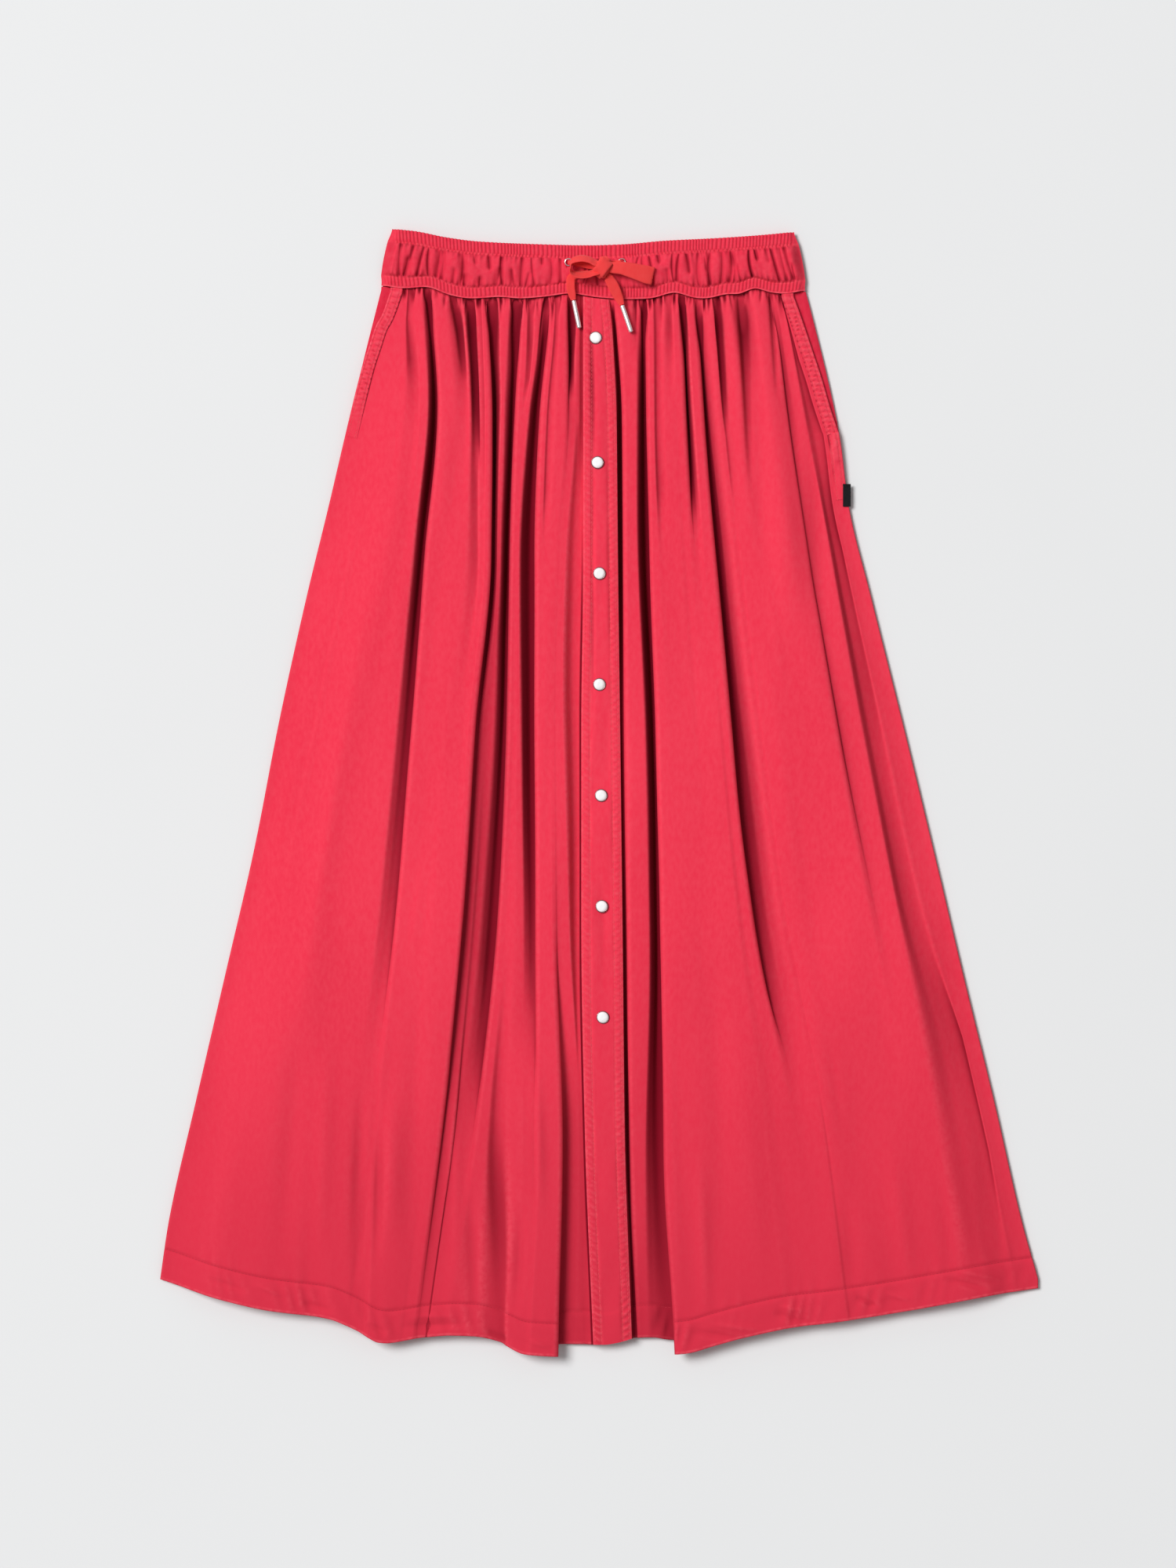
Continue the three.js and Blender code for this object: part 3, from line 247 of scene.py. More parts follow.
def waves(x, y, seed, cell, count=24):
    """A smooth uneven field between -1 and 1, with features about cell = (width, height) wide."""
    dice = np.random.default_rng(seed)
    total = np.zeros(np.broadcast(x, y).shape)
    for _ in range(count):
        turn, phase = dice.uniform(0, 2 * math.pi, 2)
        speed = dice.uniform(0.6, 1.5)
        total = total + np.sin(speed * (math.cos(turn) * x / cell[0] + math.sin(turn) * y / cell[1])
                               * math.pi + phase)
    return total / math.sqrt(count)


def creases(x, y, table):
    """Soft ridges and troughs of a table, summed."""
    total = np.zeros_like(x)
    for x0, y0, x1, y1, width, height in table:
        run, rise = x1 - x0, y1 - y0
        length = math.hypot(run, rise)
        along = np.clip(((x - x0) * run + (y - y0) * rise) / length ** 2, 0, 1)
        off = ((x - x0) * rise - (y - y0) * run) / length
        total += height * np.exp(-(off / width) ** 2) * np.sin(math.pi * along)
    return total


# Meshes
def mesh_object(name, vertices, faces, material, uv=None, sharp=None, **attributes):
    """A smooth mesh; attributes are values of its points that the material reads, such as wear and the amount of
    painted shade.
    """
    mesh = bpy.data.meshes.new(name)
    faces = faces.tolist() if isinstance(faces, np.ndarray) else faces
    mesh.from_pydata((np.asarray(vertices, float).reshape(-1, 3) * MM).tolist(), [], faces)
    mesh.materials.append(material)
    mesh.polygons.foreach_set("use_smooth", [True] * len(mesh.polygons))
    if sharp is not None:
        mesh.set_sharp_from_angle(angle=math.radians(sharp))
    for attribute, values in attributes.items():
        made = mesh.attributes.new(attribute, "FLOAT", "POINT")
        made.data.foreach_set("value", np.asarray(values, float).ravel())
    if uv is not None:
        corners = np.empty(len(mesh.loops), dtype=np.int32)
        mesh.loops.foreach_get("vertex_index", corners)
        layer = mesh.uv_layers.new(name="cloth")
        layer.uv.foreach_set("vector", np.asarray(uv, float).reshape(-1, 2)[corners].ravel() * MM)
    piece = bpy.data.objects.new(name, mesh)
    bpy.context.scene.collection.objects.link(piece)
    return piece


def grid_faces(rows, columns, wrap=False):
    """Quads of a grid that face up when rows run down the picture and columns to the right."""
    across = columns if wrap else columns - 1
    r, c = np.meshgrid(np.arange(rows - 1), np.arange(across), indexing="ij")
    here, right = r * columns + c, r * columns + (c + 1) % columns
    return np.stack((here, here + columns, right + columns, right), axis=-1).reshape(-1, 4)


def grid_normals(grid):
    down, across = np.gradient(grid, axis=0), np.gradient(grid, axis=1)
    normal = np.cross(down, across)
    return normal / np.maximum(np.linalg.norm(normal, axis=-1, keepdims=True), 1e-9)


def cloth_uv(grid):
    """Width along the cloth and height, so that the weave follows each row."""
    step = np.linalg.norm(np.diff(grid, axis=1), axis=-1)
    across = np.concatenate((np.zeros((len(grid), 1)), np.cumsum(step, axis=1)), axis=1)
    across -= across.mean(axis=1, keepdims=True)
    return np.stack((across, grid[..., 1]), axis=-1)


def hollows(grid, reach=34):
    """How far each point lies in a fold, from 0 in the open to 1, by how steeply the cloth rises beside it: the
    amount of painted shade there.
    """
    x, z = grid[..., 0], grid[..., 2]
    total = np.zeros_like(x)
    for direction in (-1, 1):
        steepest = np.zeros_like(x)
        for step in range(1, reach):
            other = np.clip(np.arange(x.shape[1]) + direction * step, 0, x.shape[1] - 1)
            away = np.maximum(np.abs(x[:, other] - x), 0.3)
            steepest = np.maximum(steepest, (z[:, other] - z) / away)
        total += steepest / np.sqrt(1 + steepest ** 2) / 2
    return total


def sheet_object(name, grid, material, **attributes):
    return mesh_object(name, grid, grid_faces(*grid.shape[:2]), material, cloth_uv(grid), **attributes)


def shell_object(name, outer, inner, material, sharp=50, **attributes):
    """A closed sheet between two grids of the same size, the outer one on top."""
    rows, columns = outer.shape[:2]
    layer = rows * columns
    top = grid_faces(rows, columns)
    index = np.arange(layer).reshape(rows, columns)
    rim = np.concatenate((index[0, :-1], index[:-1, -1], index[-1, :0:-1], index[:0:-1, 0]))
    ahead = np.roll(rim, -1)
    sides = np.stack((rim, ahead, ahead + layer, rim + layer), axis=-1)
    faces = np.concatenate((top, top[:, ::-1] + layer, sides))
    both = {key: np.concatenate((values.ravel(), values.ravel())) for key, values in attributes.items()}
    uv = np.concatenate((cloth_uv(outer).reshape(-1, 2), cloth_uv(inner).reshape(-1, 2)))
    return mesh_object(name, np.concatenate((outer, inner)), faces, material, uv, sharp, **both)


def ring_object(name, rings, material, closed=False, sharp=None):
    """A tube through rings of the same number of points; its ends are capped unless the rings close."""
    rings = np.asarray(rings, float)
    count, sides = rings.shape[:2]
    if closed:
        faces = grid_faces(count + 1, sides, wrap=True) % (count * sides)
        return mesh_object(name, rings, faces[:, ::-1], material, sharp=sharp)
    faces = grid_faces(count, sides, wrap=True)[:, ::-1].tolist()
    faces.append(list(range(sides)))
    faces.append(list(range((count - 1) * sides, count * sides))[::-1])
    return mesh_object(name, rings, faces, material, sharp=sharp)


def place(piece, slot, *nodes):
    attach(piece, "root")
    if nodes:
        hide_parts(*nodes)
    return piece


# Materials
def new_material(name):
    material = bpy.data.materials.new(name)
    material.use_nodes = True
    nodes, links = material.node_tree.nodes, material.node_tree.links
    return material, nodes, links, nodes["Principled BSDF"]


def noise(nodes, links, source, scale, detail=4, stretch=(1, 1, 1)):
    mapping = nodes.new("ShaderNodeMapping")
    mapping.inputs["Scale"].default_value = [scale * s for s in stretch]
    texture = nodes.new("ShaderNodeTexNoise")
    texture.inputs["Scale"].default_value = 1
    texture.inputs["Detail"].default_value = detail
    links.new(source, mapping.inputs["Vector"])
    links.new(mapping.outputs["Vector"], texture.inputs["Vector"])
    return texture.outputs["Fac"]


def mixed(nodes, links, factor, a, b):
    """Colour a where the factor is 0 and b where it is 1; a and b are colours or sockets."""
    mix = nodes.new("ShaderNodeMix")
    mix.data_type = "RGBA"
    links.new(factor, mix.inputs["Factor"])
    for value, socket in ((a, mix.inputs[6]), (b, mix.inputs[7])):
        if isinstance(value, tuple):
            socket.default_value = (*value, 1)
        else:
            links.new(value, socket)
    return mix.outputs[2]


def ranged(nodes, links, value, low, high, to=(0, 1), soft=False):
    span = nodes.new("ShaderNodeMapRange")
    span.interpolation_type = "SMOOTHSTEP" if soft else "LINEAR"
    for socket, number in zip(("From Min", "From Max", "To Min", "To Max"), (low, high, *to)):
        span.inputs[socket].default_value = number
    links.new(value, span.inputs["Value"])
    return span.outputs["Result"]


def summed(nodes, links, a, b, operation="ADD", share=1.0):
    total = nodes.new("ShaderNodeMath")
    total.operation = operation
    links.new(a, total.inputs[0])
    if b is None:
        total.inputs[1].default_value = share
    else:
        links.new(b, total.inputs[1])
    return total.outputs["Value"]


def cloth_material(name, colour, worn, dark, pitch=0.55, turn=40, sheen=0.015, relief=0.12, wear=True):
    """Washed twill: a fine diagonal weave, faded worn seams and soft uneven dye, with painted shade inside the
    folds and towards the hem and the waist.
    """
    material, nodes, links, shader = new_material(name)
    uv = nodes.new("ShaderNodeUVMap")
    uv.uv_map = "cloth"
    place_on = nodes.new("ShaderNodeTexCoord").outputs["Object"]
    turned = nodes.new("ShaderNodeMapping")
    turned.inputs["Rotation"].default_value[2] = math.radians(turn)
    links.new(uv.outputs["UV"], turned.inputs["Vector"])
    weave = nodes.new("ShaderNodeTexWave")
    weave.inputs["Scale"].default_value = 1 / (pitch * MM) / 3.14
    weave.inputs["Distortion"].default_value = 0.6
    weave.inputs["Detail"].default_value = 1
    links.new(turned.outputs["Vector"], weave.inputs["Vector"])
    slub = noise(nodes, links, uv.outputs["UV"], 900, 2, (1, 0.25, 1))
    mottle = ranged(nodes, links, noise(nodes, links, place_on, 9, 3, (1, 0.5, 1)), 0.35, 0.65)
    fleck = ranged(nodes, links, noise(nodes, links, place_on, 330, 4, (1, 0.5, 1)), 0.3, 0.7)
    dyed = mixed(nodes, links, summed(nodes, links, mottle, None, "MULTIPLY", 0.35), colour, dark)
    dyed = mixed(nodes, links, summed(nodes, links, fleck, None, "MULTIPLY", 0.2), dyed, worn)
    # Painted shade: the colour darkens towards the hem and, less, towards the waist, standing in for the light's
    # falloff across the cloth.
    height_on = nodes.new("ShaderNodeSeparateXYZ")
    links.new(place_on, height_on.inputs["Vector"])
    for near, far, most in ((-0.1, -0.46, 0.85), (0.2, 0.4, 0.15)):
        painted_falloff_shade = ranged(nodes, links, height_on.outputs["Y"], near, far, (0, most))
        dyed = mixed(nodes, links, painted_falloff_shade, dyed, tuple(c * 0.72 for c in colour))
    if wear:
        faded = nodes.new("ShaderNodeAttribute")
        faded.attribute_name = "wear"
        patchy = ranged(nodes, links, noise(nodes, links, place_on, 260, 4), 0.3, 0.62)
        patchy = summed(nodes, links, faded.outputs["Fac"], patchy, "MULTIPLY")
        dyed = mixed(nodes, links, patchy, dyed, worn)
        # Painted shade: the base colour turns a near-black red by how far each point lies inside a fold, read from
        # a point attribute.
        inside = nodes.new("ShaderNodeAttribute")
        inside.attribute_name = "hollow"
        painted_shade_share = ranged(nodes, links, inside.outputs["Fac"], 0.06, 0.82, (0, 0.93), soft=True)
        dyed = mixed(nodes, links, painted_shade_share, dyed, (0.15, 0.001, 0.009))
    links.new(dyed, shader.inputs["Base Color"])
    height = summed(nodes, links, weave.outputs["Fac"], slub)
    bump = nodes.new("ShaderNodeBump")
    bump.inputs["Strength"].default_value = 0.5
    bump.inputs["Distance"].default_value = relief * MM
    links.new(height, bump.inputs["Height"])
    links.new(bump.outputs["Normal"], shader.inputs["Normal"])
    shader.inputs["Roughness"].default_value = 0.85
    shader.inputs["Specular IOR Level"].default_value = 0.03
    shader.inputs["Sheen Weight"].default_value = sheen
    shader.inputs["Sheen Roughness"].default_value = 0.5
    return material


def plain_material(name, colour, roughness, metallic=0.0, coat=0.0, spread=0.12, scale=300, relief=0.02):
    """A hard trim: slight uneven colour and a fine surface."""
    material, nodes, links, shader = new_material(name)
    place_on = nodes.new("ShaderNodeTexCoord").outputs["Object"]
    spots = noise(nodes, links, place_on, scale, 3)
    darker = tuple(c * (1 - spread) for c in colour)
    links.new(mixed(nodes, links, spots, colour, darker), shader.inputs["Base Color"])
    links.new(ranged(nodes, links, spots, 0.3, 0.7, (roughness * 0.8, roughness * 1.25)),
              shader.inputs["Roughness"])
    bump = nodes.new("ShaderNodeBump")
    bump.inputs["Strength"].default_value = 0.3
    bump.inputs["Distance"].default_value = relief * MM
    links.new(spots, bump.inputs["Height"])
    links.new(bump.outputs["Normal"], shader.inputs["Normal"])
    shader.inputs["Metallic"].default_value = metallic
    shader.inputs["Coat Weight"].default_value = coat
    return material


RED, FADED, DEEP = (0.87, 0.041, 0.082), (0.89, 0.11, 0.15), (0.74, 0.022, 0.056)
TWILL = cloth_material("washed_twill", RED, FADED, DEEP)
TWILL_BACK = cloth_material("washed_twill_back", (0.7, 0.02, 0.055), FADED, DEEP, wear=False)
BAND_CLOTH = cloth_material("gathered_band", (0.82, 0.032, 0.07), (0.88, 0.1, 0.14), DEEP)
RIBBON_CLOTH = cloth_material("woven_ribbon", (0.86, 0.052, 0.054), (0.88, 0.12, 0.11), (0.72, 0.032, 0.034),
                              pitch=1.1, turn=90, sheen=0.1, relief=0.25, wear=False)
THREAD = plain_material("red_thread", (0.84, 0.09, 0.12), 0.8)
# A dark red thread for the hem, its darkness partly painted shade of the stitch groove it lies in.
HEM_THREAD_WITH_PAINTED_SHADE = plain_material("hem_thread_with_painted_shade", (0.5, 0.014, 0.04), 0.85)
METAL = plain_material("bright_metal", (0.86, 0.85, 0.83), 0.18, metallic=1.0)
TUBE_METAL = plain_material("tube_metal", (0.88, 0.87, 0.86), 0.34, metallic=0.75)
# The snaps' rings: metal, darkened as painted shadow for the shadow gap round each cap.
SHADOW_DARK_RING_METAL = plain_material("shadow_dark_ring_metal", (0.3, 0.24, 0.24), 0.3, metallic=1.0)
PEARL = plain_material("pearl", (0.96, 0.94, 0.945), 0.34, coat=0.35, spread=0.05, scale=900)
BLACK = cloth_material("black_tape", (0.012, 0.012, 0.014), (0.03, 0.03, 0.034), (0.006, 0.006, 0.007),
                       pitch=0.8, turn=0, sheen=0.1, wear=False)


# Camera
def add_camera():
    data = bpy.data.cameras.new("camera")
    data.lens = 100
    data.sensor_width = 36
    data.clip_end = 20
    camera = bpy.data.objects.new("camera", data)
    bpy.context.scene.collection.objects.link(camera)
    frame_height = 1320
    distance = frame_height * data.lens / data.sensor_width
    camera.location = [v * MM for v in (-9.4, 6.9, distance + 6)]
    bpy.context.scene.camera = camera


add_camera()

# The drawstring. Each stretch is a flat ribbon along its route: x, y, z, width.
# across: the direction of the ribbon's width. The points named inside lie in the knot.
DRAWSTRING = {
    "left": (
        {"across": (0, 1, 0), "route": ((-25.9, 445.4, 11.4, 3), (-24.9, 445.4, 12.9, 3.4), (-21, 445, 13.2, 4.5),
            (-15, 443.8, 13, 5.5), (-9, 442.8, 13, 6), (-5, 442.2, 13.8, 6), (-2.9, 441.8, 15, 6))},
        {"across": (0, -0.6, 0.8), "route": ((1, 443.2, 18, 8), (-3.8, 444.4, 19, 10.5), (-8, 446.6, 19.2, 10.5),
            (-14, 447.6, 19.4, 10.5), (-20, 446.4, 19.3, 10.5), (-23.6, 442.8, 19.1, 10.5),
            (-23.6, 438, 19, 10.5), (-20, 434.6, 18.9, 10.5), (-14.5, 433.6, 18.9, 10.5), (-9, 434.2, 19, 10.5),
            (-4.6, 436, 19, 10.5), (0, 437.2, 17.6, 8))},
        {"across": (0, 1, 0), "route": ((-4, 436.2, 13.6, 4.4), (-8, 435.8, 12.6, 5), (-14, 435.6, 12.3, 5.6),
            (-20.4, 434.6, 12.2, 6.8), (-24, 430.5, 12.4, 7.2), (-24, 424.5, 12.2, 7.2), (-22.8, 418.5, 11.8, 6.4),
            (-21.6, 413.9, 11.4, 4.4))},
    ),
    "right": (
        {"across": (0, 1, 0), "route": ((19, 445.6, 11.4, 3), (18, 445.5, 12.7, 3.4), (14.8, 445, 12.6, 4.2),
            (12.4, 444.6, 12.8, 4.4), (10.2, 444.2, 13.6, 4.2))},
        {"across": (0.06, 1, 0), "route": ((4.6, 441, 18.2, 6), (10.2, 440.2, 18.6, 9), (18, 439.8, 18.8, 10.5),
            (26, 438, 18.1, 12), (34, 435.8, 16.8, 13.4), (41, 434, 15.4, 14.6), (44.6, 433.6, 13.9, 15),
            (42, 434.8, 12.6, 14.4), (34, 437.4, 12.7, 12.4), (26, 439.4, 13.4, 11), (18, 440.8, 14.3, 9),
            (10.6, 440.6, 15.4, 6), (6, 438, 15.6, 5))},
        {"across": (0.89, 0.45, 0), "route": ((8, 431.6, 15.6, 8), (11.4, 426, 14.4, 9), (14, 420.6, 13.4, 8.8),
            (16.6, 415.2, 12.7, 7.4), (19, 409.6, 12.4, 4.4))},
    ),
}


def ribbon_rings(route, across, spacing=0.9):
    """Rings of a flat ribbon with soft edges, along a route of x, y, z, width."""
    line = smooth_line(np.asarray(route, float)[None], spacing, 2, 14)[0]
    centres, width = line[:, :3], line[:, 3]
    along = np.gradient(centres, axis=0)
    along /= np.linalg.norm(along, axis=1, keepdims=True)
    wide = np.asarray(across, float) / np.linalg.norm(across)
    side, before = np.empty_like(centres), wide
    for i, forward in enumerate(along):
        found = wide - forward * (wide @ forward)
        if np.linalg.norm(found) < 0.8:
            found = np.cross((0, 0, 1), forward)
        found = found / np.linalg.norm(found)
        if found @ before < 0:
            found = -found
        before = side[i] = found
    for _ in range(6):
        side[1:-1] = (side[:-2] + 2 * side[1:-1] + side[2:]) / 4
    side -= along * np.sum(side * along, axis=1, keepdims=True)
    side /= np.linalg.norm(side, axis=1, keepdims=True)
    face = np.cross(side, along)
    shares = np.linspace(-0.5, 0.5, 11)
    thick = RIBBON_THICK / 2 * np.sqrt(np.clip(1 - (2 * shares) ** 6, 0.05, 1))
    cord_rows = 0.09 * np.cos(np.arange(11) * math.pi)
    top = [(s, t + r) for s, t, r in zip(shares, thick, cord_rows)]
    section = np.array(top + [(s, -t) for s, t in reversed(top)])
    reach = np.linspace(0, 1, len(width))
    curl = 0.35 * np.sin(reach * 9 + 1)
    offset = section[None, :, 0] * width[:, None]
    lift = section[None, :, 1] + curl[:, None] * (2 * section[None, :, 0]) ** 2 - 0.15
    return centres[:, None] + side[:, None] * offset[..., None] + face[:, None] * lift[..., None]


def joined_rings(groups, inside):
    """The rings of several stretches, with the hidden turns between them."""
    rings = [groups[0]]
    for before, after in zip(groups, groups[1:]):
        start, end = before[-1], after[0]
        rings.append(np.array([lerp(start, end, s) for s in (0.25, 0.5, 0.75)]) + inside)
        rings.append(after)
    return np.concatenate(rings)


def add_aglet(side):
    (x0, y0), (x1, y1) = AGLETS[side]
    start, end = np.array((x0, y0, AGLET["z"][side])), np.array((x1, y1, AGLET["z"][side]))
    along = (end - start) / np.linalg.norm(end - start)
    across, up = np.array((-along[1], along[0], 0)), np.array((0, 0, 1.0))
    length = np.linalg.norm(end - start)
    profile = ((0, 1.2), (0.05, 1.75), (0.5, 2), (length - 1.6, 2), (length - 1.4, 1.86), (length - 1.1, 1.86),
               (length - 0.9, 2), (length - 0.5, 2), (length - 0.15, 1.8), (length, 1.3), (length - 0.6, 1.1))
    turn = np.linspace(0, 2 * math.pi, 28, endpoint=False)
    rings = [start + along * at + r * (np.cos(turn)[:, None] * across + np.sin(turn)[:, None] * up)
             for at, r in profile]
    aglet = ring_object(f"aglet_{side}_visual", rings, TUBE_METAL, sharp=30)
    return place(aglet, "bright_metal", f"aglet_{side}")


def add_knot():
    """The bow's knot: a soft core of folded ribbon under one diagonal wrap."""
    cx, cy, cz = KNOT["centre"]
    turn = math.radians(KNOT["lean"])
    rings = []
    for lift in np.linspace(-1, 1, 25):
        around = np.linspace(0, 2 * math.pi, 40, endpoint=False)
        flat = (1 - abs(lift) ** 2.6) ** (1 / 2.6)
        unit = np.stack((np.cos(around), np.sin(around)), axis=-1)
        unit /= (np.abs(unit) ** 2.6).sum(axis=-1, keepdims=True) ** (1 / 2.6)
        x, y = unit[:, 0] * KNOT["size"][0] * flat, unit[:, 1] * KNOT["size"][1] * flat
        dent = 1 - 0.07 * np.cos(3.1 * y + 1.3 * x)
        spun = (x * math.cos(turn) - y * math.sin(turn), x * math.sin(turn) + y * math.cos(turn))
        rings.append(np.stack((cx + spun[0] * dent, cy + spun[1] * dent,
                               cz + lift * KNOT["size"][2] * 0.86 * np.ones_like(x)), axis=-1))
    core = ring_object("knot_core", rings[1:-1], RIBBON_CLOTH)
    place(core, "ribbon", "ribbon_knot")
    # The wrap runs over the knot from its upper right to its lower left
    lean = math.radians(52)
    forward = np.array((math.cos(lean), math.sin(lean), 0))
    route = []
    for angle in np.linspace(-0.25, math.pi + 0.25, 17):
        reach = 7.4 * math.cos(angle)
        height = 5.6 * math.sin(angle) if math.sin(angle) > 0 else 3 * math.sin(angle)
        spot = np.array((cx, cy, cz)) + forward * reach
        route.append((spot[0], spot[1], cz + height, 10.5))
    across = (-forward[1], forward[0], 0)
    wrap = ring_object("knot_wrap", ribbon_rings(route, across), RIBBON_CLOTH)
    return core, place(wrap, "ribbon")


def add_drawstring():
    knot = add_knot()
    for side, stretches in DRAWSTRING.items():
        groups = [ribbon_rings(s["route"], s["across"]) for s in stretches]
        inside = np.array((0.4 if side == "left" else -0.4, 0, 0))
        rings = joined_rings(groups, inside)
        ribbon = ring_object(f"ribbon_{side}", rings, RIBBON_CLOTH)
        place(ribbon, "ribbon", *(f"ribbon_{side}_{part}" for part in ("lead", "loop", "tail")))
        on_it = [add_aglet(side)] + (list(knot) if side == "left" else [])


add_drawstring()


# Front panels
def side_height(side, down):
    top = seam_height(-183 if side == "left" else 173)
    bottom = HEM["left"]["y"][0] if side == "left" else HEM["right"]["y"][-1]
    return lerp(top, bottom, down)


def outline_edge(side, down):
    return at_height(side_height(side, down), OUTLINE["y"], OUTLINE[side])


def front_edge(side, down):
    y = side_height(side, down)
    pocket, outline = POCKET_EDGE[side], outline_edge(side, down)
    cut = at_height(y, pocket["y"], pocket["x"])
    cut = np.maximum(cut, outline) if side == "left" else np.minimum(cut, outline)
    return np.where(y < pocket["y"][-1], outline, cut)


def loft(x, down):
    in_from_side = np.minimum(x - outline_edge("left", down), outline_edge("right", down) - x)
    return lerp(through(DOWN, LOFT["side"], down), through(DOWN, LOFT["top"], down),
                smooth(in_from_side / SHOULDER))


def fold_points(fold, down, ridge_before):
    """One fold's control points across the cloth at every height: its points are [height, point, (x, z)]."""
    edge, depth = through(DOWN, fold["x"], down), through(DOWN, fold["depth"], down)
    gap, ridge_after = through(DOWN_COARSE, fold["gap"], down), through(DOWN_COARSE, fold["ridge"], down)
    top = loft(edge, down)
    before, after = top * ridge_before, top * ridge_after
    made = {"edge": edge, "ridge_before": ridge_before, "ridge_after": ridge_after}
    if fold["lip"] == 0:
        floor = np.maximum(FLOOR, (before + after) / 2 - depth)
        return {**made, "points": np.stack((edge, floor), axis=-1)[:, None]}
    lip_top, far_top = (after, before) if fold["lip"] > 0 else (before, after)
    floor = np.maximum(FLOOR, lip_top - depth)
    far = np.maximum(far_top, floor)
    lip_height = np.maximum((floor + lip_top) / 2, lip_top - LIP["radius"])
    over = np.minimum(LIP["over"], 0.16 * (lip_top - floor))
    level = np.zeros_like(edge)
    folded = np.stack([np.stack(pair, axis=-1) for pair in (
        (-gap - fold["slope"], far),
        (-0.85 * gap, (floor + far) / 2),
        (-0.35 * gap, floor),
        (over, lerp(floor, lip_height, 0.35)),
        (level, lip_height),
        (level + 1.4 * LIP["radius"], lip_top),
    )], axis=1)
    share = np.linspace(0, 1, 6)[None, :, None]
    flat = lerp(folded[:, :1], folded[:, -1:], share)
    points = lerp(flat, folded, np.clip(depth / 6, 0, 1)[:, None, None])
    points[..., 0] = edge[:, None] + fold["lip"] * points[..., 0]
    return {**made, "points": points if fold["lip"] > 0 else points[:, ::-1]}


def narrowed(fold, limit):
    """The fold's soft side, drawn in towards its lip until it ends at the limit."""
    edge, points = fold["edge"][:, None], fold["points"]
    end = np.where(fold["edge"] < limit, points[:, -1, 0], points[:, 0, 0])
    share = (limit - fold["edge"]) / (end - fold["edge"])
    moved = edge + (points[..., 0] - edge) * share[:, None]
    beyond = (points[..., 0] - edge) * (limit[:, None] - edge) > 0
    return np.where(beyond, moved, points[..., 0])


def folded_cloth(folds, down, start, end, first_ridge=1):
    placed, ridge = [], first_ridge
    for fold in folds:
        placed.append(fold_points(fold, down, ridge))
        ridge = placed[-1]["ridge_after"]
    start_of = lambda i: placed[i]["points"][:, 0, 0] if i < len(placed) else end
    end_of = lambda i: placed[i]["points"][:, -1, 0] if i >= 0 else start
    clear = 0.8
    for i in range(1, len(placed)):
        before, after = placed[i - 1], placed[i]
        if before["points"].shape[1] == 1 or after["points"].shape[1] == 1:
            continue
        meeting = (start_of(i) - end_of(i - 1) < 2 * clear)[:, None]
        middle = (start_of(i) + end_of(i - 1)) / 2
        for fold, limit in ((before, middle - clear), (after, middle + clear)):
            fold["points"][..., 0] = np.where(meeting, narrowed(fold, limit), fold["points"][..., 0])
    room = 4
    for i, fold in enumerate(placed):
        if fold["points"].shape[1] > 1:
            continue
        following = i + 1
        while following < len(placed) and placed[following]["points"].shape[1] == 1:
            following += 1
        span = start_of(following) - end_of(i - 1)
        between = np.minimum(room, span / (following - i + 1))
        x = np.clip(fold["points"][:, 0, 0], end_of(i - 1) + between,
                    start_of(following) - between * (following - i))
        near = np.minimum(x - end_of(i - 1), start_of(i + 1) - x)
        mean_ridge = (fold["ridge_before"] + fold["ridge_after"]) / 2
        lowest = loft(x, down) * mean_ridge - 0.3 * np.maximum(0, near)
        fold["points"] = np.stack((x, np.maximum(fold["points"][:, 0, 1], lowest)), axis=-1)[:, None]
    row = []
    for i, fold in enumerate(placed):
        x = (end_of(i - 1) + fold["points"][:, 0, 0]) / 2
        row.append(np.stack((x, loft(x, down) * fold["ridge_before"]), axis=-1)[:, None])
        row.append(fold["points"])
    return np.concatenate(row, axis=1), ridge


def front_controls(side, down):
    """Control points of a front at every height: [height, point, (x, z)]."""
    edge = front_edge(side, down)
    inward = 1 if side == "left" else -1
    spot = lambda x: np.stack((x, loft(x, down)), axis=-1)[:, None]
    level = lambda x, z: np.stack((x, z), axis=-1)[:, None]
    border = [spot(edge + inward * d) for d in (0, POCKET_BAND["width"] / 2, POCKET_BAND["width"])]
    inner = border[2][:, 0, 0]
    rest = through(DOWN, PLACKET["rest"], down)
    left, right = through(DOWN, PLACKET["left"], down), through(DOWN, PLACKET["right"], down)
    if side == "left":
        first = through(DOWN, LEFT_FOLDS[0]["x"], down)
        plain = [spot(lerp(inner, first, share)) for share in OPEN_CLOTH]
        beside = left - SHELF["left"]
        row, ridge = folded_cloth(LEFT_FOLDS, down, plain[1][:, 0, 0], beside - SHELF["left"])
        strip = (row[:, -1, 0] + beside) / 2
        ridge_top = np.maximum(FLOOR, loft(strip, down) * ridge)
        strip_top = lerp(np.minimum(ridge_top, rest), ridge_top, 0.5)
        return np.concatenate(border + plain + [row, level(strip, strip_top),
                              level(beside, rest - SHELF["left_drop"]), level(left + SHELF["under"], rest),
                              level(left + PLACKET["overlap"], rest)], axis=1)
    shelf_ridge = rest / loft(through(DOWN, RIGHT_FOLDS[0]["x"], down), down)
    row, _ = folded_cloth(RIGHT_FOLDS, down, right - SHELF["right"], inner, shelf_ridge)
    plain = [spot(lerp(row[:, -1, 0], inner, share)) for share in OPEN_CLOTH]
    row[:, 0] = np.stack((right - SHELF["right"], rest), axis=-1)
    start = left + PLACKET["overlap"] + SEAM_BUTT
    return np.concatenate([level(start, rest), level((start + right) / 2, rest), row] + plain + border[::-1],
                          axis=1)


def hem_height(side, count, x):
    recessed = np.arange(count) >= count - 8 if side == "left" else np.arange(count) < 14
    return np.where(recessed, through(HEM["centre"]["x"], HEM["centre"]["y"], x),
                    through(HEM[side]["x"], HEM[side]["y"], x))


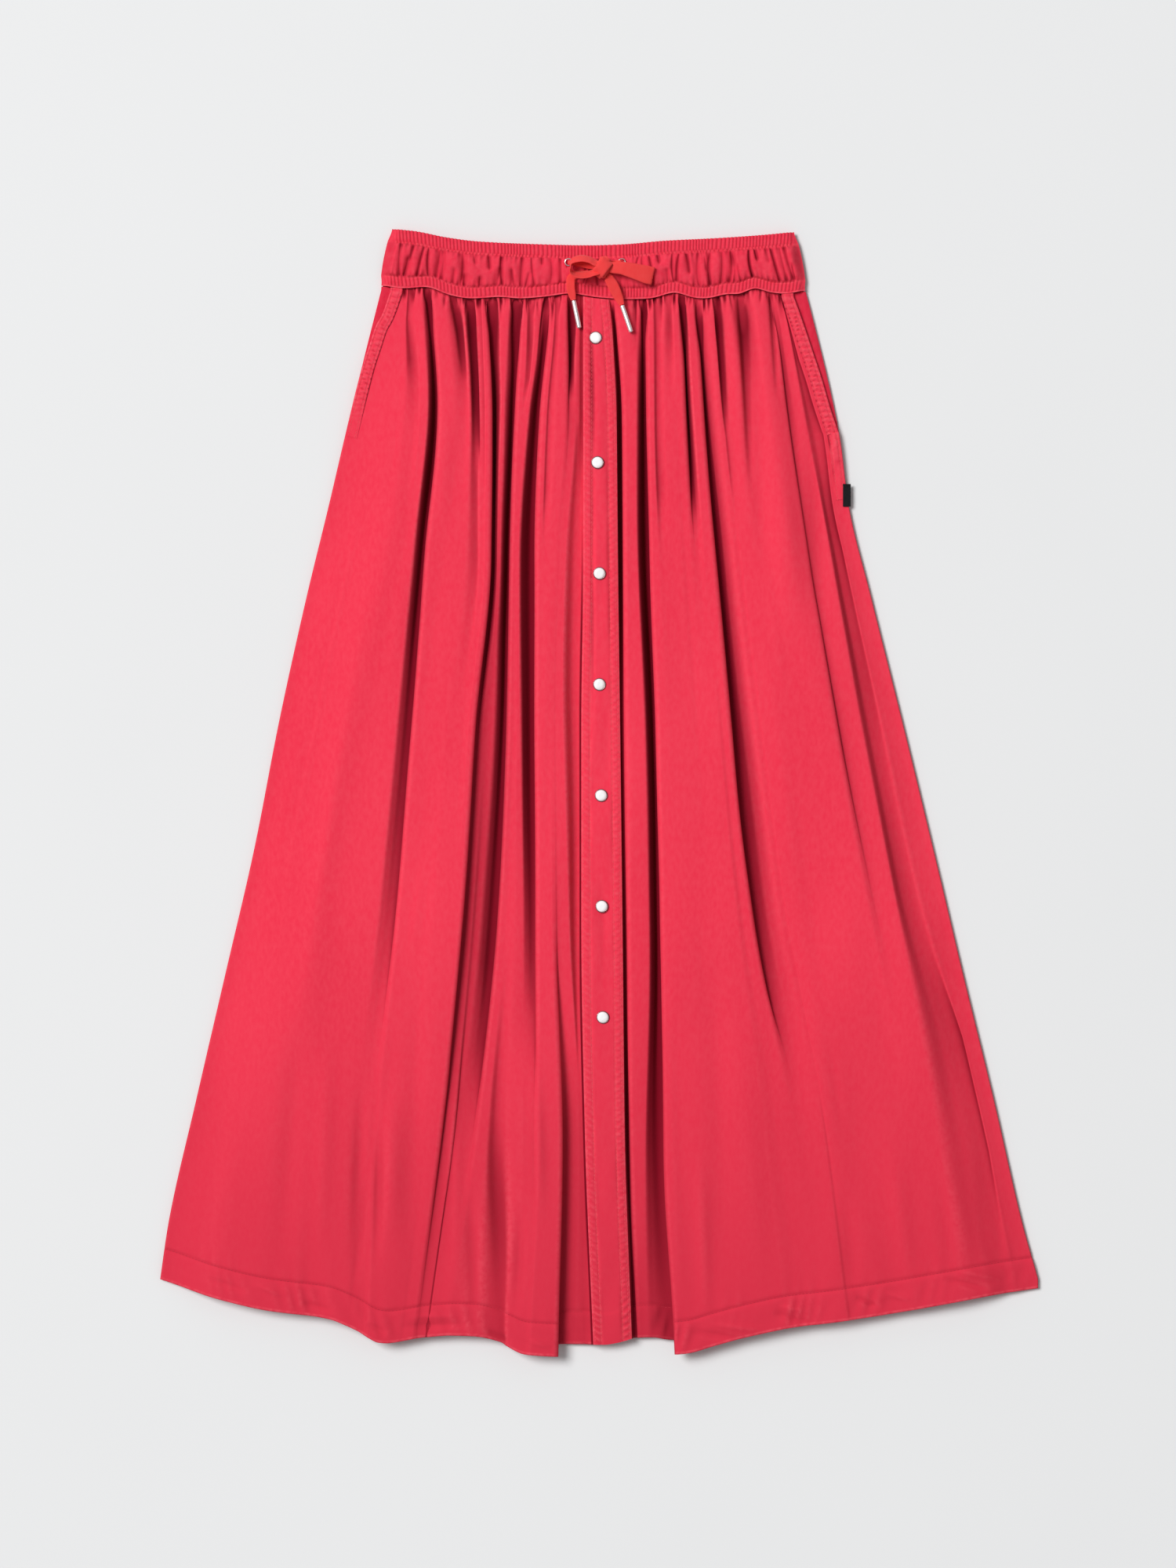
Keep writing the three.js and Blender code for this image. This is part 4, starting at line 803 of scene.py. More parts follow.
# The gathers that show under the waist seam: place, length, depth, width at the seam, lean to the right
GATHERS = (
    (-164, 14, 1.6, 1.6, 0.1), (-157.5, 20, 1.8, 1.5, 0), (-151, 12, 1.2, 1.2, 0), (-144, 46, 2.6, 1.8, 0.06),
    (-137, 13, 1.4, 1.3, -0.1), (-131, 18, 1.2, 1.3, 0.05), (-122.5, 34, 2.6, 1.7, 0.1), (-117, 14, 1.6, 1.2, 0.1),
    (-108.5, 62, 3.2, 1.9, 0.04), (-102, 12, 1.3, 1.2, 0), (-94.6, 34, 2.8, 1.6, 0.12), (-88, 60, 3.4, 1.9, 0),
    (-82.5, 26, 2.6, 1.4, -0.05), (-77, 12, 1.4, 1.2, 0), (-70.5, 70, 3.6, 2, -0.02), (-65.5, 30, 3, 1.5, -0.12),
    (-59, 16, 1.5, 1.3, 0.05), (-53, 22, 2.2, 1.5, 0.15), (-45, 66, 3.2, 1.9, -0.1), (-38.5, 38, 2.6, 1.6, -0.06),
    (-32.5, 20, 2, 1.4, -0.15), (-22.6, 58, 3.2, 1.9, 0.03), (14.5, 30, 2.4, 1.6, 0.05), (23, 16, 1.6, 1.3, 0.08),
    (30.8, 62, 3.2, 2, 0.02), (38, 40, 2.8, 1.6, 0.03), (43, 14, 1.5, 1.3, 0), (51.3, 34, 2, 1.8, 0.02),
    (57.5, 12, 1.2, 1.2, 0), (63.2, 22, 2.2, 1.5, 0.06), (69.8, 62, 3.2, 1.9, 0.06), (76, 13, 1.3, 1.2, 0),
    (82.3, 52, 3, 1.8, 0.07), (88, 20, 2, 1.4, 0.1), (99.5, 48, 2.8, 1.8, 0.06), (105.5, 18, 1.8, 1.4, 0),
    (118, 50, 2.8, 1.9, 0.15), (124.5, 15, 1.4, 1.4, 0.1), (131, 12, 1, 1.3, 0.1), (143.7, 40, 2.8, 1.9, 0.1),
    (151.5, 32, 2.2, 1.6, 0.15), (156, 20, 1.6, 1.4, 0.2),
)


def gathers(x, below, seed):
    """The gathers under the waist seam, with small puckers between them at the seam itself."""
    total = np.zeros_like(x)
    for at, length, depth, width, lean in GATHERS:
        off = np.abs(x - at - lean * below) / (width * (1 + below / 50))
        total -= depth * np.exp(-off ** 1.5) * smooth(1 - below / length) * smooth(0.4 + below / 5)
    dice = np.random.default_rng(seed)
    at = x.min()
    while at < x.max():
        width, depth, length = dice.uniform(0.9, 1.6), dice.uniform(0.8, 2.2), dice.uniform(6, 18)
        off = (x - at - dice.uniform(-0.2, 0.2) * below) / width
        total -= depth * np.exp(-off ** 2) * smooth(1 - below / length)
        at += dice.uniform(2.6, 5.5)
    return total


def streaks(x, y, seed, count=46):
    """Long faint lines down the cloth, which fan out from the waist."""
    dice = np.random.default_rng(seed)
    total = np.zeros_like(x)
    for _ in range(count):
        centre = dice.uniform(-0.97, 0.97) * 280
        top, length = dice.uniform(-330, 380), dice.uniform(90, 330)
        height, width = dice.uniform(-0.55, 0.5), dice.uniform(3, 9)
        line = centre * (1 - y / 1250)
        window = smooth((top - y) / 60) * smooth((y - top + length) / 60)
        total += height * np.exp(-((x - line) / width) ** 2) * window
    return total


def hem_relief(x, y, down, seed):
    """The turned hem: it stands proud, dips along its stitches and puckers unevenly."""
    band = np.clip((down - HEM_SHARE) / (1 - HEM_SHARE), 0, 1)
    swell = 0.5 * smooth((down - HEM_SHARE) / 0.006)
    dip = -0.7 * np.exp(-((down - HEM_SHARE) / 0.0015) ** 2)
    phase = 2 * math.pi * (x + 9 * band * np.sign(x)) / 15 + 5 * waves(x, 0 * x, seed, (38, 1), 8)
    strength = 0.22 * (1 + 0.9 * waves(x, 0 * x, seed + 1, (50, 1), 8))
    puckers = strength * np.sin(phase) * np.sin(math.pi * np.clip(band, 0, 1)) ** 0.7
    above = 0.22 * np.sin(phase * 0.77) * np.exp(-np.abs(down - HEM_SHARE) / 0.012) * (down < HEM_SHARE)
    return swell + dip + puckers + above


ROWS = np.concatenate((np.linspace(0, 0.14, 72, endpoint=False), np.linspace(0.14, 0.935, 84, endpoint=False),
                       np.linspace(0.935, 1, 48)))


def front_grid(side):
    controls = front_controls(side, ROWS)
    count = controls.shape[1]
    top = seam_height(controls[0, :, 0]) - SEAM_BUTT
    bottom = hem_height(side, count, controls[-1, :, 0])
    y = lerp(top[None], bottom[None], ROWS[:, None])
    line = smooth_line(np.concatenate((controls, y[..., None]), axis=-1), 1.1, 4, 22)
    grid = line[..., [0, 2, 1]]
    x, y = grid[..., 0], grid[..., 1]
    down = np.broadcast_to(ROWS[:, None], x.shape)
    seed = 5 if side == "left" else 9
    below = np.maximum(0, seam_height(x) - SEAM_BUTT - y)
    settle = smooth(below / 30)
    free = smooth((x - outline_edge("left", down)) / 30) * smooth((outline_edge("right", down) - x) / 30)
    free = free * smooth((np.abs(x - 3) - 17) / 8)
    relief = (creases(x, y, CREASES) + streaks(x, y, seed + 2) + 0.5 * waves(x, y, seed, (34, 120))) * settle
    relief = (relief + gathers(x, below, seed + 1)) * free
    relief = relief + creases(x, y, HEM_PUCKERS) * free
    grid = grid + grid_normals(grid) * relief[..., None]
    grid[..., 2] += hem_relief(x, y, down, seed + 3)
    grid[..., 2] = np.maximum(grid[..., 2], BACK_WALL + 0.5)
    return grid


def turned_edges(grid, side):
    """The hem and the outer edge turn under, and the waist edge runs under the waistband."""
    lowest = BACK_WALL + 0.3
    rolled = []
    for above, along, drop in ((1, -0.5, 0.7), (1, -0.1, 1.5), (7, 0, 1.9), (23, 0, 2.1)):
        row = grid[-above] + np.array((0, along, -drop))
        row[:, 2] = np.maximum(row[:, 2], lowest)
        rolled.append(row[None])
    tucked = (grid[0] + np.array((0, 4, -3)))[None]
    tucked[..., 2] = np.maximum(tucked[..., 2], lowest + 0.4)
    grid = np.concatenate([tucked, grid] + rolled)
    outward = -1 if side == "left" else 1
    edge = grid[:, :1] if side == "left" else grid[:, -1:]
    under = []
    for reach, drop in ((0.4, 0.7), (0, 1.4), (-7, 1.7)):
        column = edge + np.array((outward * reach, 0, -drop))
        column[..., 2] = np.maximum(column[..., 2], lowest)
        under.append(column)
    if side == "left":
        return np.concatenate(under[::-1] + [grid], axis=1)
    return np.concatenate([grid] + under, axis=1)


def front_wear(grid):
    """Fading along the hem's edge and the folds' lips."""
    hem = np.zeros(grid.shape[:2])
    last = len(ROWS)
    hem[last - 1:last + 2] = 0.5
    bend = -np.gradient(np.gradient(grid[..., 2], axis=1), axis=1)
    lips = np.clip(bend / 0.5, 0, 1) * 0.35
    return np.maximum(hem, lips)


def front_hollows(grid, side):
    """Painted shade in the folds, along the hem's stitch line, where the waist edge runs under the waistband and in
    the gap beside the placket.
    """
    total = hollows(grid, 80)
    # Painted shade along the hem's stitch groove and under the waistband's edge.
    stitch = int(np.searchsorted(ROWS, HEM_SHARE)) + 1
    total[stitch - 1:stitch + 1] = np.maximum(total[stitch - 1:stitch + 1], 0.26)
    total[:2] = np.maximum(total[:2], 0.5)
    if side == "left":
        down = np.concatenate(((0,), ROWS, (1, 1, 1, 1)))[:, None]
        open_strip = smooth((grid[..., 0] + 40) / 10) * smooth((down - 0.12) / 0.1)
        total = total * (1 - open_strip * lerp(0.75, 0.3, smooth((down - 0.65) / 0.15)))
        # Painted shade in the gap beside the placket's left edge.
        gap =np.exp(-((grid[..., 0] - through(DOWN, PLACKET["left"], down) + 0.6) / 1.3) ** 4)
        total = np.maximum(total, gap * lerp(0.3, 0.85, smooth((down - 0.2) / 0.15)))
    return total


def stitches(name, path, thread=THREAD, lift=0.15, pitch=3.0, length=2.1, width=0.42):
    """A row of thread stitches along a path on the cloth."""
    path = np.asarray(path, float)
    run = np.concatenate(((0,), np.cumsum(np.linalg.norm(np.diff(path, axis=0), axis=1))))
    middles = np.arange(pitch / 2, run[-1], pitch)
    spot = lambda s: np.stack([np.interp(s, run, path[:, k]) for k in range(3)], axis=-1)
    centre = spot(middles) + np.array((0, 0, lift))
    along = spot(middles + length / 2) - spot(middles - length / 2)
    along /= np.linalg.norm(along, axis=1, keepdims=True)
    side = np.cross((0, 0, 1), along)
    side /= np.linalg.norm(side, axis=1, keepdims=True)
    up = np.cross(along, side)
    turn = np.linspace(0, 2 * math.pi, 6, endpoint=False)
    template = np.array([(at, r * math.cos(t), 0.8 * r * math.sin(t))
                         for at, r in ((-0.5, 0.35), (-0.3, 0.9), (0.3, 0.9), (0.5, 0.35)) for t in turn])
    template *= (length, width / 2, width / 2)
    vertices = (centre[:, None] + along[:, None] * template[None, :, :1] + side[:, None] * template[None, :, 1:2]
                + up[:, None] * template[None, :, 2:])
    faces = grid_faces(4, 6, wrap=True)[:, ::-1]
    many = (faces[None] + (np.arange(len(middles)) * 24)[:, None, None]).reshape(-1, 4)
    piece = mesh_object(name, vertices, many, thread)
    return place(piece, "dyed_cloth")


FRONT = {}


def add_front(side):
    grid = front_grid(side)
    FRONT[side] = grid
    full = turned_edges(grid, side)
    panel = sheet_object(f"front_{side}_cloth", full, TWILL, wear=front_wear(full),
                         hollow=front_hollows(full, side))
    place(panel, "dyed_cloth", f"front_{side}")
    hem_row = grid[int(np.searchsorted(ROWS, HEM_SHARE))]
    keep = np.abs(hem_row[:, 0] - 6) > 20
    # The hem's stitches are dark partly as painted shade of their groove.
    seam = stitches(f"hem_stitches_{side}", hem_row[keep], HEM_THREAD_WITH_PAINTED_SHADE, lift=0.1)


add_front("left")
add_front("right")


# Pocket edges
def add_pocket_band(side):
    """The puckered, double-stitched edge, which thins out where it runs into the side seam."""
    grid = FRONT[side]
    lowest = POCKET_BAND["lowest"] if side == "left" else SIDE_TAB["y"] - 4
    rows = grid[:, 0 if side == "left" else -1, 1] > lowest
    edge = grid[rows][:, 0 if side == "left" else -1]
    full = smooth((edge[:, 1] - lowest) / 40)[:, None]
    inward = 1 if side == "left" else -1
    step = np.gradient(edge, axis=0)
    step /= np.linalg.norm(step, axis=1, keepdims=True)
    normal = np.cross(step, (0, 0, 1))
    normal *= np.sign(normal[:, :1]) * inward
    distances = np.linspace(0, POCKET_BAND["width"], 22)
    run = np.concatenate(((0,), np.cumsum(np.linalg.norm(np.diff(edge, axis=0), axis=1))))
    outer = edge[:, None] + normal[:, None] * distances[None, :, None]
    across = distances[None] / POCKET_BAND["width"]
    puckers = np.sin(2 * math.pi * (run[:, None] + 3 * across) / 4.4
                     + 1.5 * waves(run[:, None], across, 3, (20, 2), 6))
    dips = -0.5 * sum(np.exp(-((distances[None] - d) / 0.7) ** 2) for d in (2.2, 8.2))
    crown = 0.62 * puckers * np.sin(math.pi * across) ** 0.5 + dips - 0.5 * np.abs(2 * across - 1) ** 8
    base = np.interp(distances, (0, 5, 10), (0, 0.35, 0.7))[None] + 0.3
    outer[..., 2] = edge[:, None, 2] + base + full * (POCKET_BAND["thick"] + crown) + 0.05
    inner = outer.copy()
    inner[..., 2] = edge[:, None, 2] + base
    wear = full * np.clip(0.3 + 0.5 * np.exp(-((distances[None] - 0.2) / 0.9) ** 2) + 0.3 * puckers, 0, 1)
    # Painted shade in the puckers' troughs and along the band's inner edge.
    hollow = full * (0.3 * np.clip(-puckers, 0, 1) + 0.35 * np.exp(-((distances[None] - 10) / 0.8) ** 2))
    if side == "right":
        outer, inner, wear, hollow = (part[:, ::-1] for part in (outer, inner, wear, hollow))
    band = shell_object(f"pocket_band_{side}_cloth", outer, inner, TWILL, wear=wear, hollow=hollow)
    place(band, "dyed_cloth", f"pocket_band_{side}")
    for k, distance in enumerate((2.2, 8.2)):
        column = int(np.argmin(np.abs(distances - distance)))
        column = column if side == "left" else len(distances) - 1 - column
        stitches(f"pocket_stitches_{side}_{k + 1}", outer[:, column])


def add_bearer(side):
    inward = 1 if side == "left" else -1
    top, bottom = side_height(side, 0), POCKET_BEARER["lowest"]
    share = np.linspace(0, 1, 40)
    down = share * (top - bottom) / (top - side_height(side, 1))
    edge = outline_edge(side, down)
    x = edge[:, None] + inward * np.linspace(0, POCKET_BEARER["under"], 14)[None]
    y = lerp(seam_height(x) - SEAM_BUTT, bottom, share[:, None])
    z = 3.4 + 0.25 * waves(x, y, 21, (9, 30)) - 0.8 * np.exp(-((x - edge[:, None]) / 1.2) ** 2)
    outer = np.stack((x, y, z), axis=-1)
    inner = outer.copy()
    inner[..., 2] = BACK_WALL + 0.3
    if side == "right":
        outer, inner = outer[:, ::-1], inner[:, ::-1]
    bearer = shell_object(f"pocket_bearer_{side}_cloth", outer, inner, TWILL_BACK)
    place(bearer, "dyed_cloth", f"pocket_bearer_{side}")


for side in ("left", "right"):
    add_pocket_band(side)
    add_bearer(side)


# Back panel, flat where it rests
def back_seam(x):
    return through((-184, 0, 175), (424, 414, 420), x)


def back_hem(x):
    heights = [through(HEM[part]["x"], HEM[part]["y"], x) for part in ("left", "centre", "right")]
    height = np.where(x < -34, heights[0], np.where(x > 64, heights[2], heights[1]))
    return np.maximum(height, -462) + 3


def add_back():
    down = np.linspace(0, 1, 150)[:, None]
    share = np.linspace(0, 1, 90)[None]
    edge = lambda side, at: outline_edge(side, at) + (1 if side == "left" else -1)
    x = lerp(edge("left", down), edge("right", down), share)
    top = back_seam(lerp(edge("left", 0), edge("right", 0), share)) - SEAM_BUTT
    bottom = back_hem(lerp(edge("left", 1), edge("right", 1), share))
    y = lerp(top, bottom, down)
    rim = np.minimum(np.minimum(share, 1 - share) * 700, np.minimum(down, 1 - down) * 880)
    z = BACK_WALL - 0.6 * np.exp(-(rim / 1.5) ** 2) + 0 * x
    outer = np.stack((x, y, z), axis=-1)
    inner = np.stack((x, y, 0 * x), axis=-1)
    back = shell_object("back_cloth", outer, inner, TWILL_BACK)
    place(back, "dyed_cloth", "back")
    line = inner[int(150 * 0.97)] + np.array((0, 0, 0.1))
    seam = stitches("back_hem_stitches", line[::2], lift=0)


add_back()


# Placket
def placket_place(down):
    left, right = through(DOWN, PLACKET["left"], down), through(DOWN, PLACKET["right"], down)
    under = through(DOWN, PLACKET["rest"], down) + 0.3 + 0.5 * np.maximum(0, 1 - down / DOWN[2])
    return left, right, under


def placket_top(y):
    down = (seam_height(0) - y) / (seam_height(0) - HEM["centre"]["y"][0])
    left, right, under = placket_place(down)
    return (left + right) / 2, under + PLACKET["thick"]


TOPSTITCH = (2.0, 7.2)


def add_placket():
    down = np.concatenate((np.linspace(0, 0.96, 420, endpoint=False), np.linspace(0.96, 1, 30)))[:, None]
    share = np.linspace(0, 1, 38)[None]
    left, right, under = placket_place(down)
    x = lerp(left, right, share)
    y = lerp(seam_height(x) - 2 * SEAM_BUTT, through(HEM["centre"]["x"], HEM["centre"]["y"], x), down)
    from_edge = np.minimum(x - left, right - x)
    inset = TOPSTITCH[1]
    wander = 1.4 * waves(y, 0 * x + np.sign(x - (left + right) / 2), 31, (26, 3), 8)
    herring = np.sin(2 * math.pi * (y + 0.55 * from_edge) / 5.6 + wander)
    dips = -0.5 * sum(np.exp(-((from_edge - d) / 0.6) ** 2) for d in TOPSTITCH)
    puckers = 0.55 * herring * np.exp(-((from_edge - 4.5) / 3) ** 2)
    rim = -1.0 * np.exp(-(from_edge / 0.9) ** 2)
    middle = 0.35 * waves(x, y, 32, (14, 36)) * smooth((from_edge - inset) / 3)
    crease = creases(x, y, ((-6.5, 408, -4.5, 280, 2.2, -1.5), (-5.4, 330, -5.2, 40, 1.5, -1.1),
                            (5, 350, 6, 230, 3, -0.6), (7, 300, 9.5, 60, 1.6, -0.8),
                            (-2, 240, -3, 150, 3.5, 0.6), (2, -60, 3, -170, 4, -0.6)))
    z = under + PLACKET["thick"] - 0.1 + dips + puckers + rim + middle + crease
    z = z + 0.6 * smooth((down - HEM_SHARE) / 0.003) * 1.0
    outer = np.stack((x, y, z), axis=-1)
    inner = outer.copy()
    inner[..., 2] = under + 0 * x + 0.6 * smooth((down - HEM_SHARE) / 0.003)
    band = np.exp(-((from_edge - 4.5) / 3) ** 2)
    wear = 0.7 * np.exp(-((from_edge - 0.4) / 0.8) ** 2) + 0.45 * np.clip(herring, 0, 1) * band
    wear = wear + 0.4 * np.exp(-((from_edge - inset) / 1.0) ** 2) * (0.6 + 0.4 * np.sin(y * 1.2))
    # Painted shade in the herringbone puckers' troughs and in the creases.
    hollow = 0.24 * np.clip(-herring, 0, 1) * band + 0.5 * np.clip(-crease / 1.5, 0, 1)
    placket = shell_object("placket_cloth", outer, inner, TWILL, wear=np.clip(wear, 0, 1), hollow=hollow)
    place(placket, "dyed_cloth", "placket")
    for k, d in enumerate(TOPSTITCH):
        for name, edge, inward in (("left", left, 1), ("right", right, -1)):
            lines = [np.interp(edge[i, 0] + inward * d, x[i], range(38)) for i in range(len(down))]
            path = [lerp(outer[i, int(c)], outer[i, min(int(c) + 1, 37)], c - int(c))
                    for i, c in enumerate(lines)]
            stitches(f"placket_stitches_{name}_{k + 1}", path[2:-1])


add_placket()


# Snaps
def pearl_cap(name, centre, seed):
    """A low nugget with a few uneven soft facets."""
    dice = np.random.default_rng(seed)
    turn = np.linspace(0, 2 * math.pi, 48, endpoint=False)
    facets = [(angle, dice.uniform(0.1, 0.26), dice.uniform(1.6, 2.8))
              for angle in np.arange(7) * 2 * math.pi / 7 + dice.uniform(-0.25, 0.25, 7)]
    lean = dice.uniform(-0.06, 0.06, 2)
    rings = []
    for share in np.linspace(0, 1, 14):
        r = SNAP["dome"] * math.cos(share * math.pi / 2 * 0.985)
        x, y = r * np.cos(turn), r * np.sin(turn)
        height = 2.5 + lean[0] * x + lean[1] * y
        for angle, slope, reach in facets:
            beyond = x * math.cos(angle) + y * math.sin(angle) - reach
            height = height - slope * np.maximum(0, beyond)
        height = height - 1.2 * (1 - math.sin(share * math.pi / 2)) ** 3
        rings.append(centre + np.stack((x, y, np.maximum(height, 0.8)), axis=-1))
    return ring_object(name, rings, PEARL, sharp=12)


def add_snaps():
    turn = np.linspace(0, 2 * math.pi, 36, endpoint=False)
    ring_profile = ((4.5, 0.0), (5.1, 0.0), (5.35, 0.3), (5.3, 0.7), (5.1, 1.0), (4.8, 1.05), (4.6, 0.8))
    for i in range(SNAP["count"]):
        y = SNAP["second"] - (i - 1) * SNAP["pitch"] if i else SNAP["first"]
        x, z = placket_top(y)
        x = x + SNAP["aside"][i]
        centre = np.array((x, y, z + 0.3))
        spin = lambda r, h: centre + np.stack((r * np.cos(turn), r * np.sin(turn), 0 * turn + h), axis=-1)
        rings = [spin(r, h) for r, h in ring_profile]
        # The ring's dark metal is partly painted shadow round the cap.
        ring = ring_object(f"snap_{i + 1}_ring", rings[::-1], SHADOW_DARK_RING_METAL, closed=True)
        place(ring, "bright_metal", f"snap_{i + 1}")
        place(pearl_cap(f"snap_{i + 1}_cap", centre, 100 + i), "pearl")


add_snaps()


# Waistband
def pleats(count, seed):
    """Uneven pleats in the channel: place, lean, bow, width of each side, depth, and where each starts and ends."""
    dice = np.random.default_rng(seed)
    table = []
    for k in range(count):
        kind = dice.choice(3, p=(0.5, 0.27, 0.23))
        table.append({
            "at": (k + dice.uniform(-0.38, 0.38) + 0.5) / count, "lean": dice.uniform(-0.014, 0.014),
            "bow": dice.uniform(-0.006, 0.006), "sides": dice.uniform(0.9, 3.4, 2), "depth": dice.uniform(1.5, 3.4),
            "ends": ((0, 1), (0, dice.uniform(0.3, 0.75)), (dice.uniform(0.3, 0.65), 1))[kind],
        })
    return table


def channel_folds(u, channel, width):
    """The pleats' relief: sharp creases with rounded puffs between them."""
    folds = np.zeros(np.broadcast(u, channel).shape)
    for pleat in pleats(54, 43):
        start, end = pleat["ends"]
        place_at = pleat["at"] + pleat["lean"] * (channel - 0.5) + pleat["bow"] * np.sin(math.pi * channel)
        off = (u - place_at) * width
        side = np.where(off < 0, *pleat["sides"])
        window = smooth((channel - start) / 0.16 + (start == 0)) * smooth((end - channel) / 0.16 + (end == 1))
        folds -= pleat["depth"] * np.exp(-(np.abs(off) / side) ** 1.3) * window
    return folds - folds.mean(axis=1, keepdims=True)


def add_waistband_front():
    width = WAIST_TOP["x"][-1] - WAIST_TOP["x"][0]
    u = np.linspace(0, 1, 1100)[None]
    upper, lower = BAND["strips"]
    strip_rows, channel_rows = np.linspace(0, 1, 10, endpoint=False), np.linspace(0, 1, 40, endpoint=False)
    lower_rows = 1 - np.linspace(1, 0, 16) ** 1.5
    top_x = lerp(WAIST_TOP["x"][0], WAIST_TOP["x"][-1], u)
    seam_x = lerp(*BAND["foot"], u)
    top_y, seam_y = through(WAIST_TOP["x"], WAIST_TOP["y"], top_x), seam_height(seam_x)
    y = np.concatenate((top_y - upper * strip_rows[:, None],
                        lerp(top_y - upper, seam_y + lower, channel_rows[:, None]),
                        seam_y + lower * (1 - lower_rows[:, None])))
    part = np.concatenate((strip_rows, 1 + channel_rows, 2 + lower_rows))[:, None]
    x = lerp(top_x, seam_x, (top_y - y) / (top_y - seam_y))
    channel = np.clip(part - 1, 0, 1)
    in_channel = smooth(np.minimum(part - 1, 2 - part) / 0.09)
    across = u * width
    ribs = (across / BAND["rib_pitch"] + BAND["rib_slant"] * (2 * u - 1) * (part % 1)
            + 0.32 * waves(across, 0 * part, 41, (16, 9), 12))
    rib = np.abs(np.cos(math.pi * ribs)) ** 0.8 * smooth((3 - part) * lower / 1.6 - 0.4)
    z = BAND["strip_top"] + BAND["rib"] * (rib - 0.2) * (1 - in_channel)
    puff = np.sin(math.pi * np.clip(channel, 0.001, 0.999)) ** 0.55
    folds = channel_folds(u, channel, width)
    pinch = np.exp(-np.minimum(channel, 1 - channel) / 0.12)
    small = (0.9 * np.cos(2 * math.pi * ribs / 1.6 + 1) + 0.5 * np.cos(2 * math.pi * ribs / 2.3)) * pinch
    calm = 1 - 0.5 * np.exp(-((across - 150) / 24) ** 2) - 0.4 * np.exp(-((across - 203) / 26) ** 2)
    z = z + in_channel * (BAND["channel"] * puff + (folds + small) * calm
                          + 0.4 * waves(across, 26 * channel, 44, (9, 12)))
    join = np.exp(-(np.minimum(np.abs(part - 1), np.abs(part - 2)) / 0.035) ** 2)
    ridge = np.exp(-((3 - part) * lower / 1.1) ** 2)
    z = np.maximum(z - 0.8 * join, 4.6) + BAND["seam_ridge"] * ridge
    settle = smooth(np.minimum(u, 1 - u) / 0.02)
    z = lerp(BAND["inside"] + 0.6, z, settle)
    y = y + 0.25 * rib * np.exp(-part / 0.2)
    bulge = 2.4 * np.sin(math.pi * np.clip(part / 3, 0, 1)) ** 2
    x = x - bulge * (1 - smooth(u / 0.02)) + bulge * (1 - smooth((1 - u) / 0.02))
    grid = np.stack((x, y, z), axis=-1)
    over = [grid[0] + np.array(step) for step in ((0, 0.5, -1.0), (0, 0.3, -2.2))]
    inside = grid[0].copy()
    inside[:, 1] -= 12
    inside[:, 2] = BAND["inside"]
    under = [grid[-1] + np.array((0, 0, -0.9)), grid[-1] + np.array((0, 0.8, -1.9))]
    grid = np.concatenate((inside[None], np.array(over[::-1]), grid, np.array(under)))
    grid[..., 2] = np.maximum(grid[..., 2], 3.6)
    wear = np.zeros(grid.shape[:2])
    wear[3:3 + len(part)] = (0.25 * rib * (1 - in_channel) + 0.25 * np.clip(0.5 + folds / 3, 0, 1)
                             * in_channel + 0.3 * join + 1.2 * ridge)
    # Painted shade in the band's pleats and dips, weaker on the ribbed strips.
    band_painted_shade = 0.8 * hollows(grid, 12)
    band_painted_shade[3:3 + len(part)] *= lerp(0.6, 1, in_channel)
    band = sheet_object("waistband_cloth", grid, BAND_CLOTH, wear=wear, hollow=band_painted_shade)
    place(band, "dyed_cloth", "waistband_front")


def add_waistband_back():
    u = np.linspace(0, 1, 460)[None]
    share = np.linspace(0, 1, 30)[:, None]
    top_x = lerp(WAIST_TOP["x"][0] + 0.3, WAIST_TOP["x"][-1] - 0.3, u)
    foot = lerp(BAND["foot"][0] + 0.5, BAND["foot"][1] - 0.5, u)
    top_y = through(WAIST_TOP["x"], WAIST_TOP["y"], top_x) - 0.5
    y = lerp(top_y, back_seam(foot), share)
    x = lerp(top_x, foot, share)
    step = smooth((y - 428) / 1.5)
    rib = np.abs(np.cos(math.pi * u * 338 / BAND["rib_pitch"])) ** 0.8
    z = lerp(BACK_WALL, 3.0 + 0.4 * rib, step) - 1.0 * np.exp(-(share * 50 / 1.2) ** 2)
    outer = np.stack((x, y, z), axis=-1)
    inner = np.stack((x, y, 0 * z), axis=-1)
    band = shell_object("waistband_back_cloth", outer, inner, TWILL_BACK)
    place(band, "dyed_cloth", "waistband_back")


add_waistband_front()
add_waistband_back()


# Eyelets
def add_eyelets():
    turn = np.linspace(0, 2 * math.pi, 40, endpoint=False)
    for name, x in zip(("left", "right"), EYELET["x"]):
        centre = np.array((x, EYELET["y"], EYELET["z"]))
        rings = []
        for angle in np.linspace(0, 2 * math.pi, 12, endpoint=False):
            r = EYELET["radius"] - EYELET["wire"] / 2 + EYELET["wire"] / 2 * math.cos(angle)
            h = 0.42 * math.sin(angle)
            rings.append(centre + np.stack((r * np.cos(turn), r * np.sin(turn), 0 * turn + h), axis=-1))
        ring = ring_object(f"eyelet_{name}_ring", rings, METAL, closed=True)
        place(ring, "bright_metal", f"eyelet_{name}")


add_eyelets()


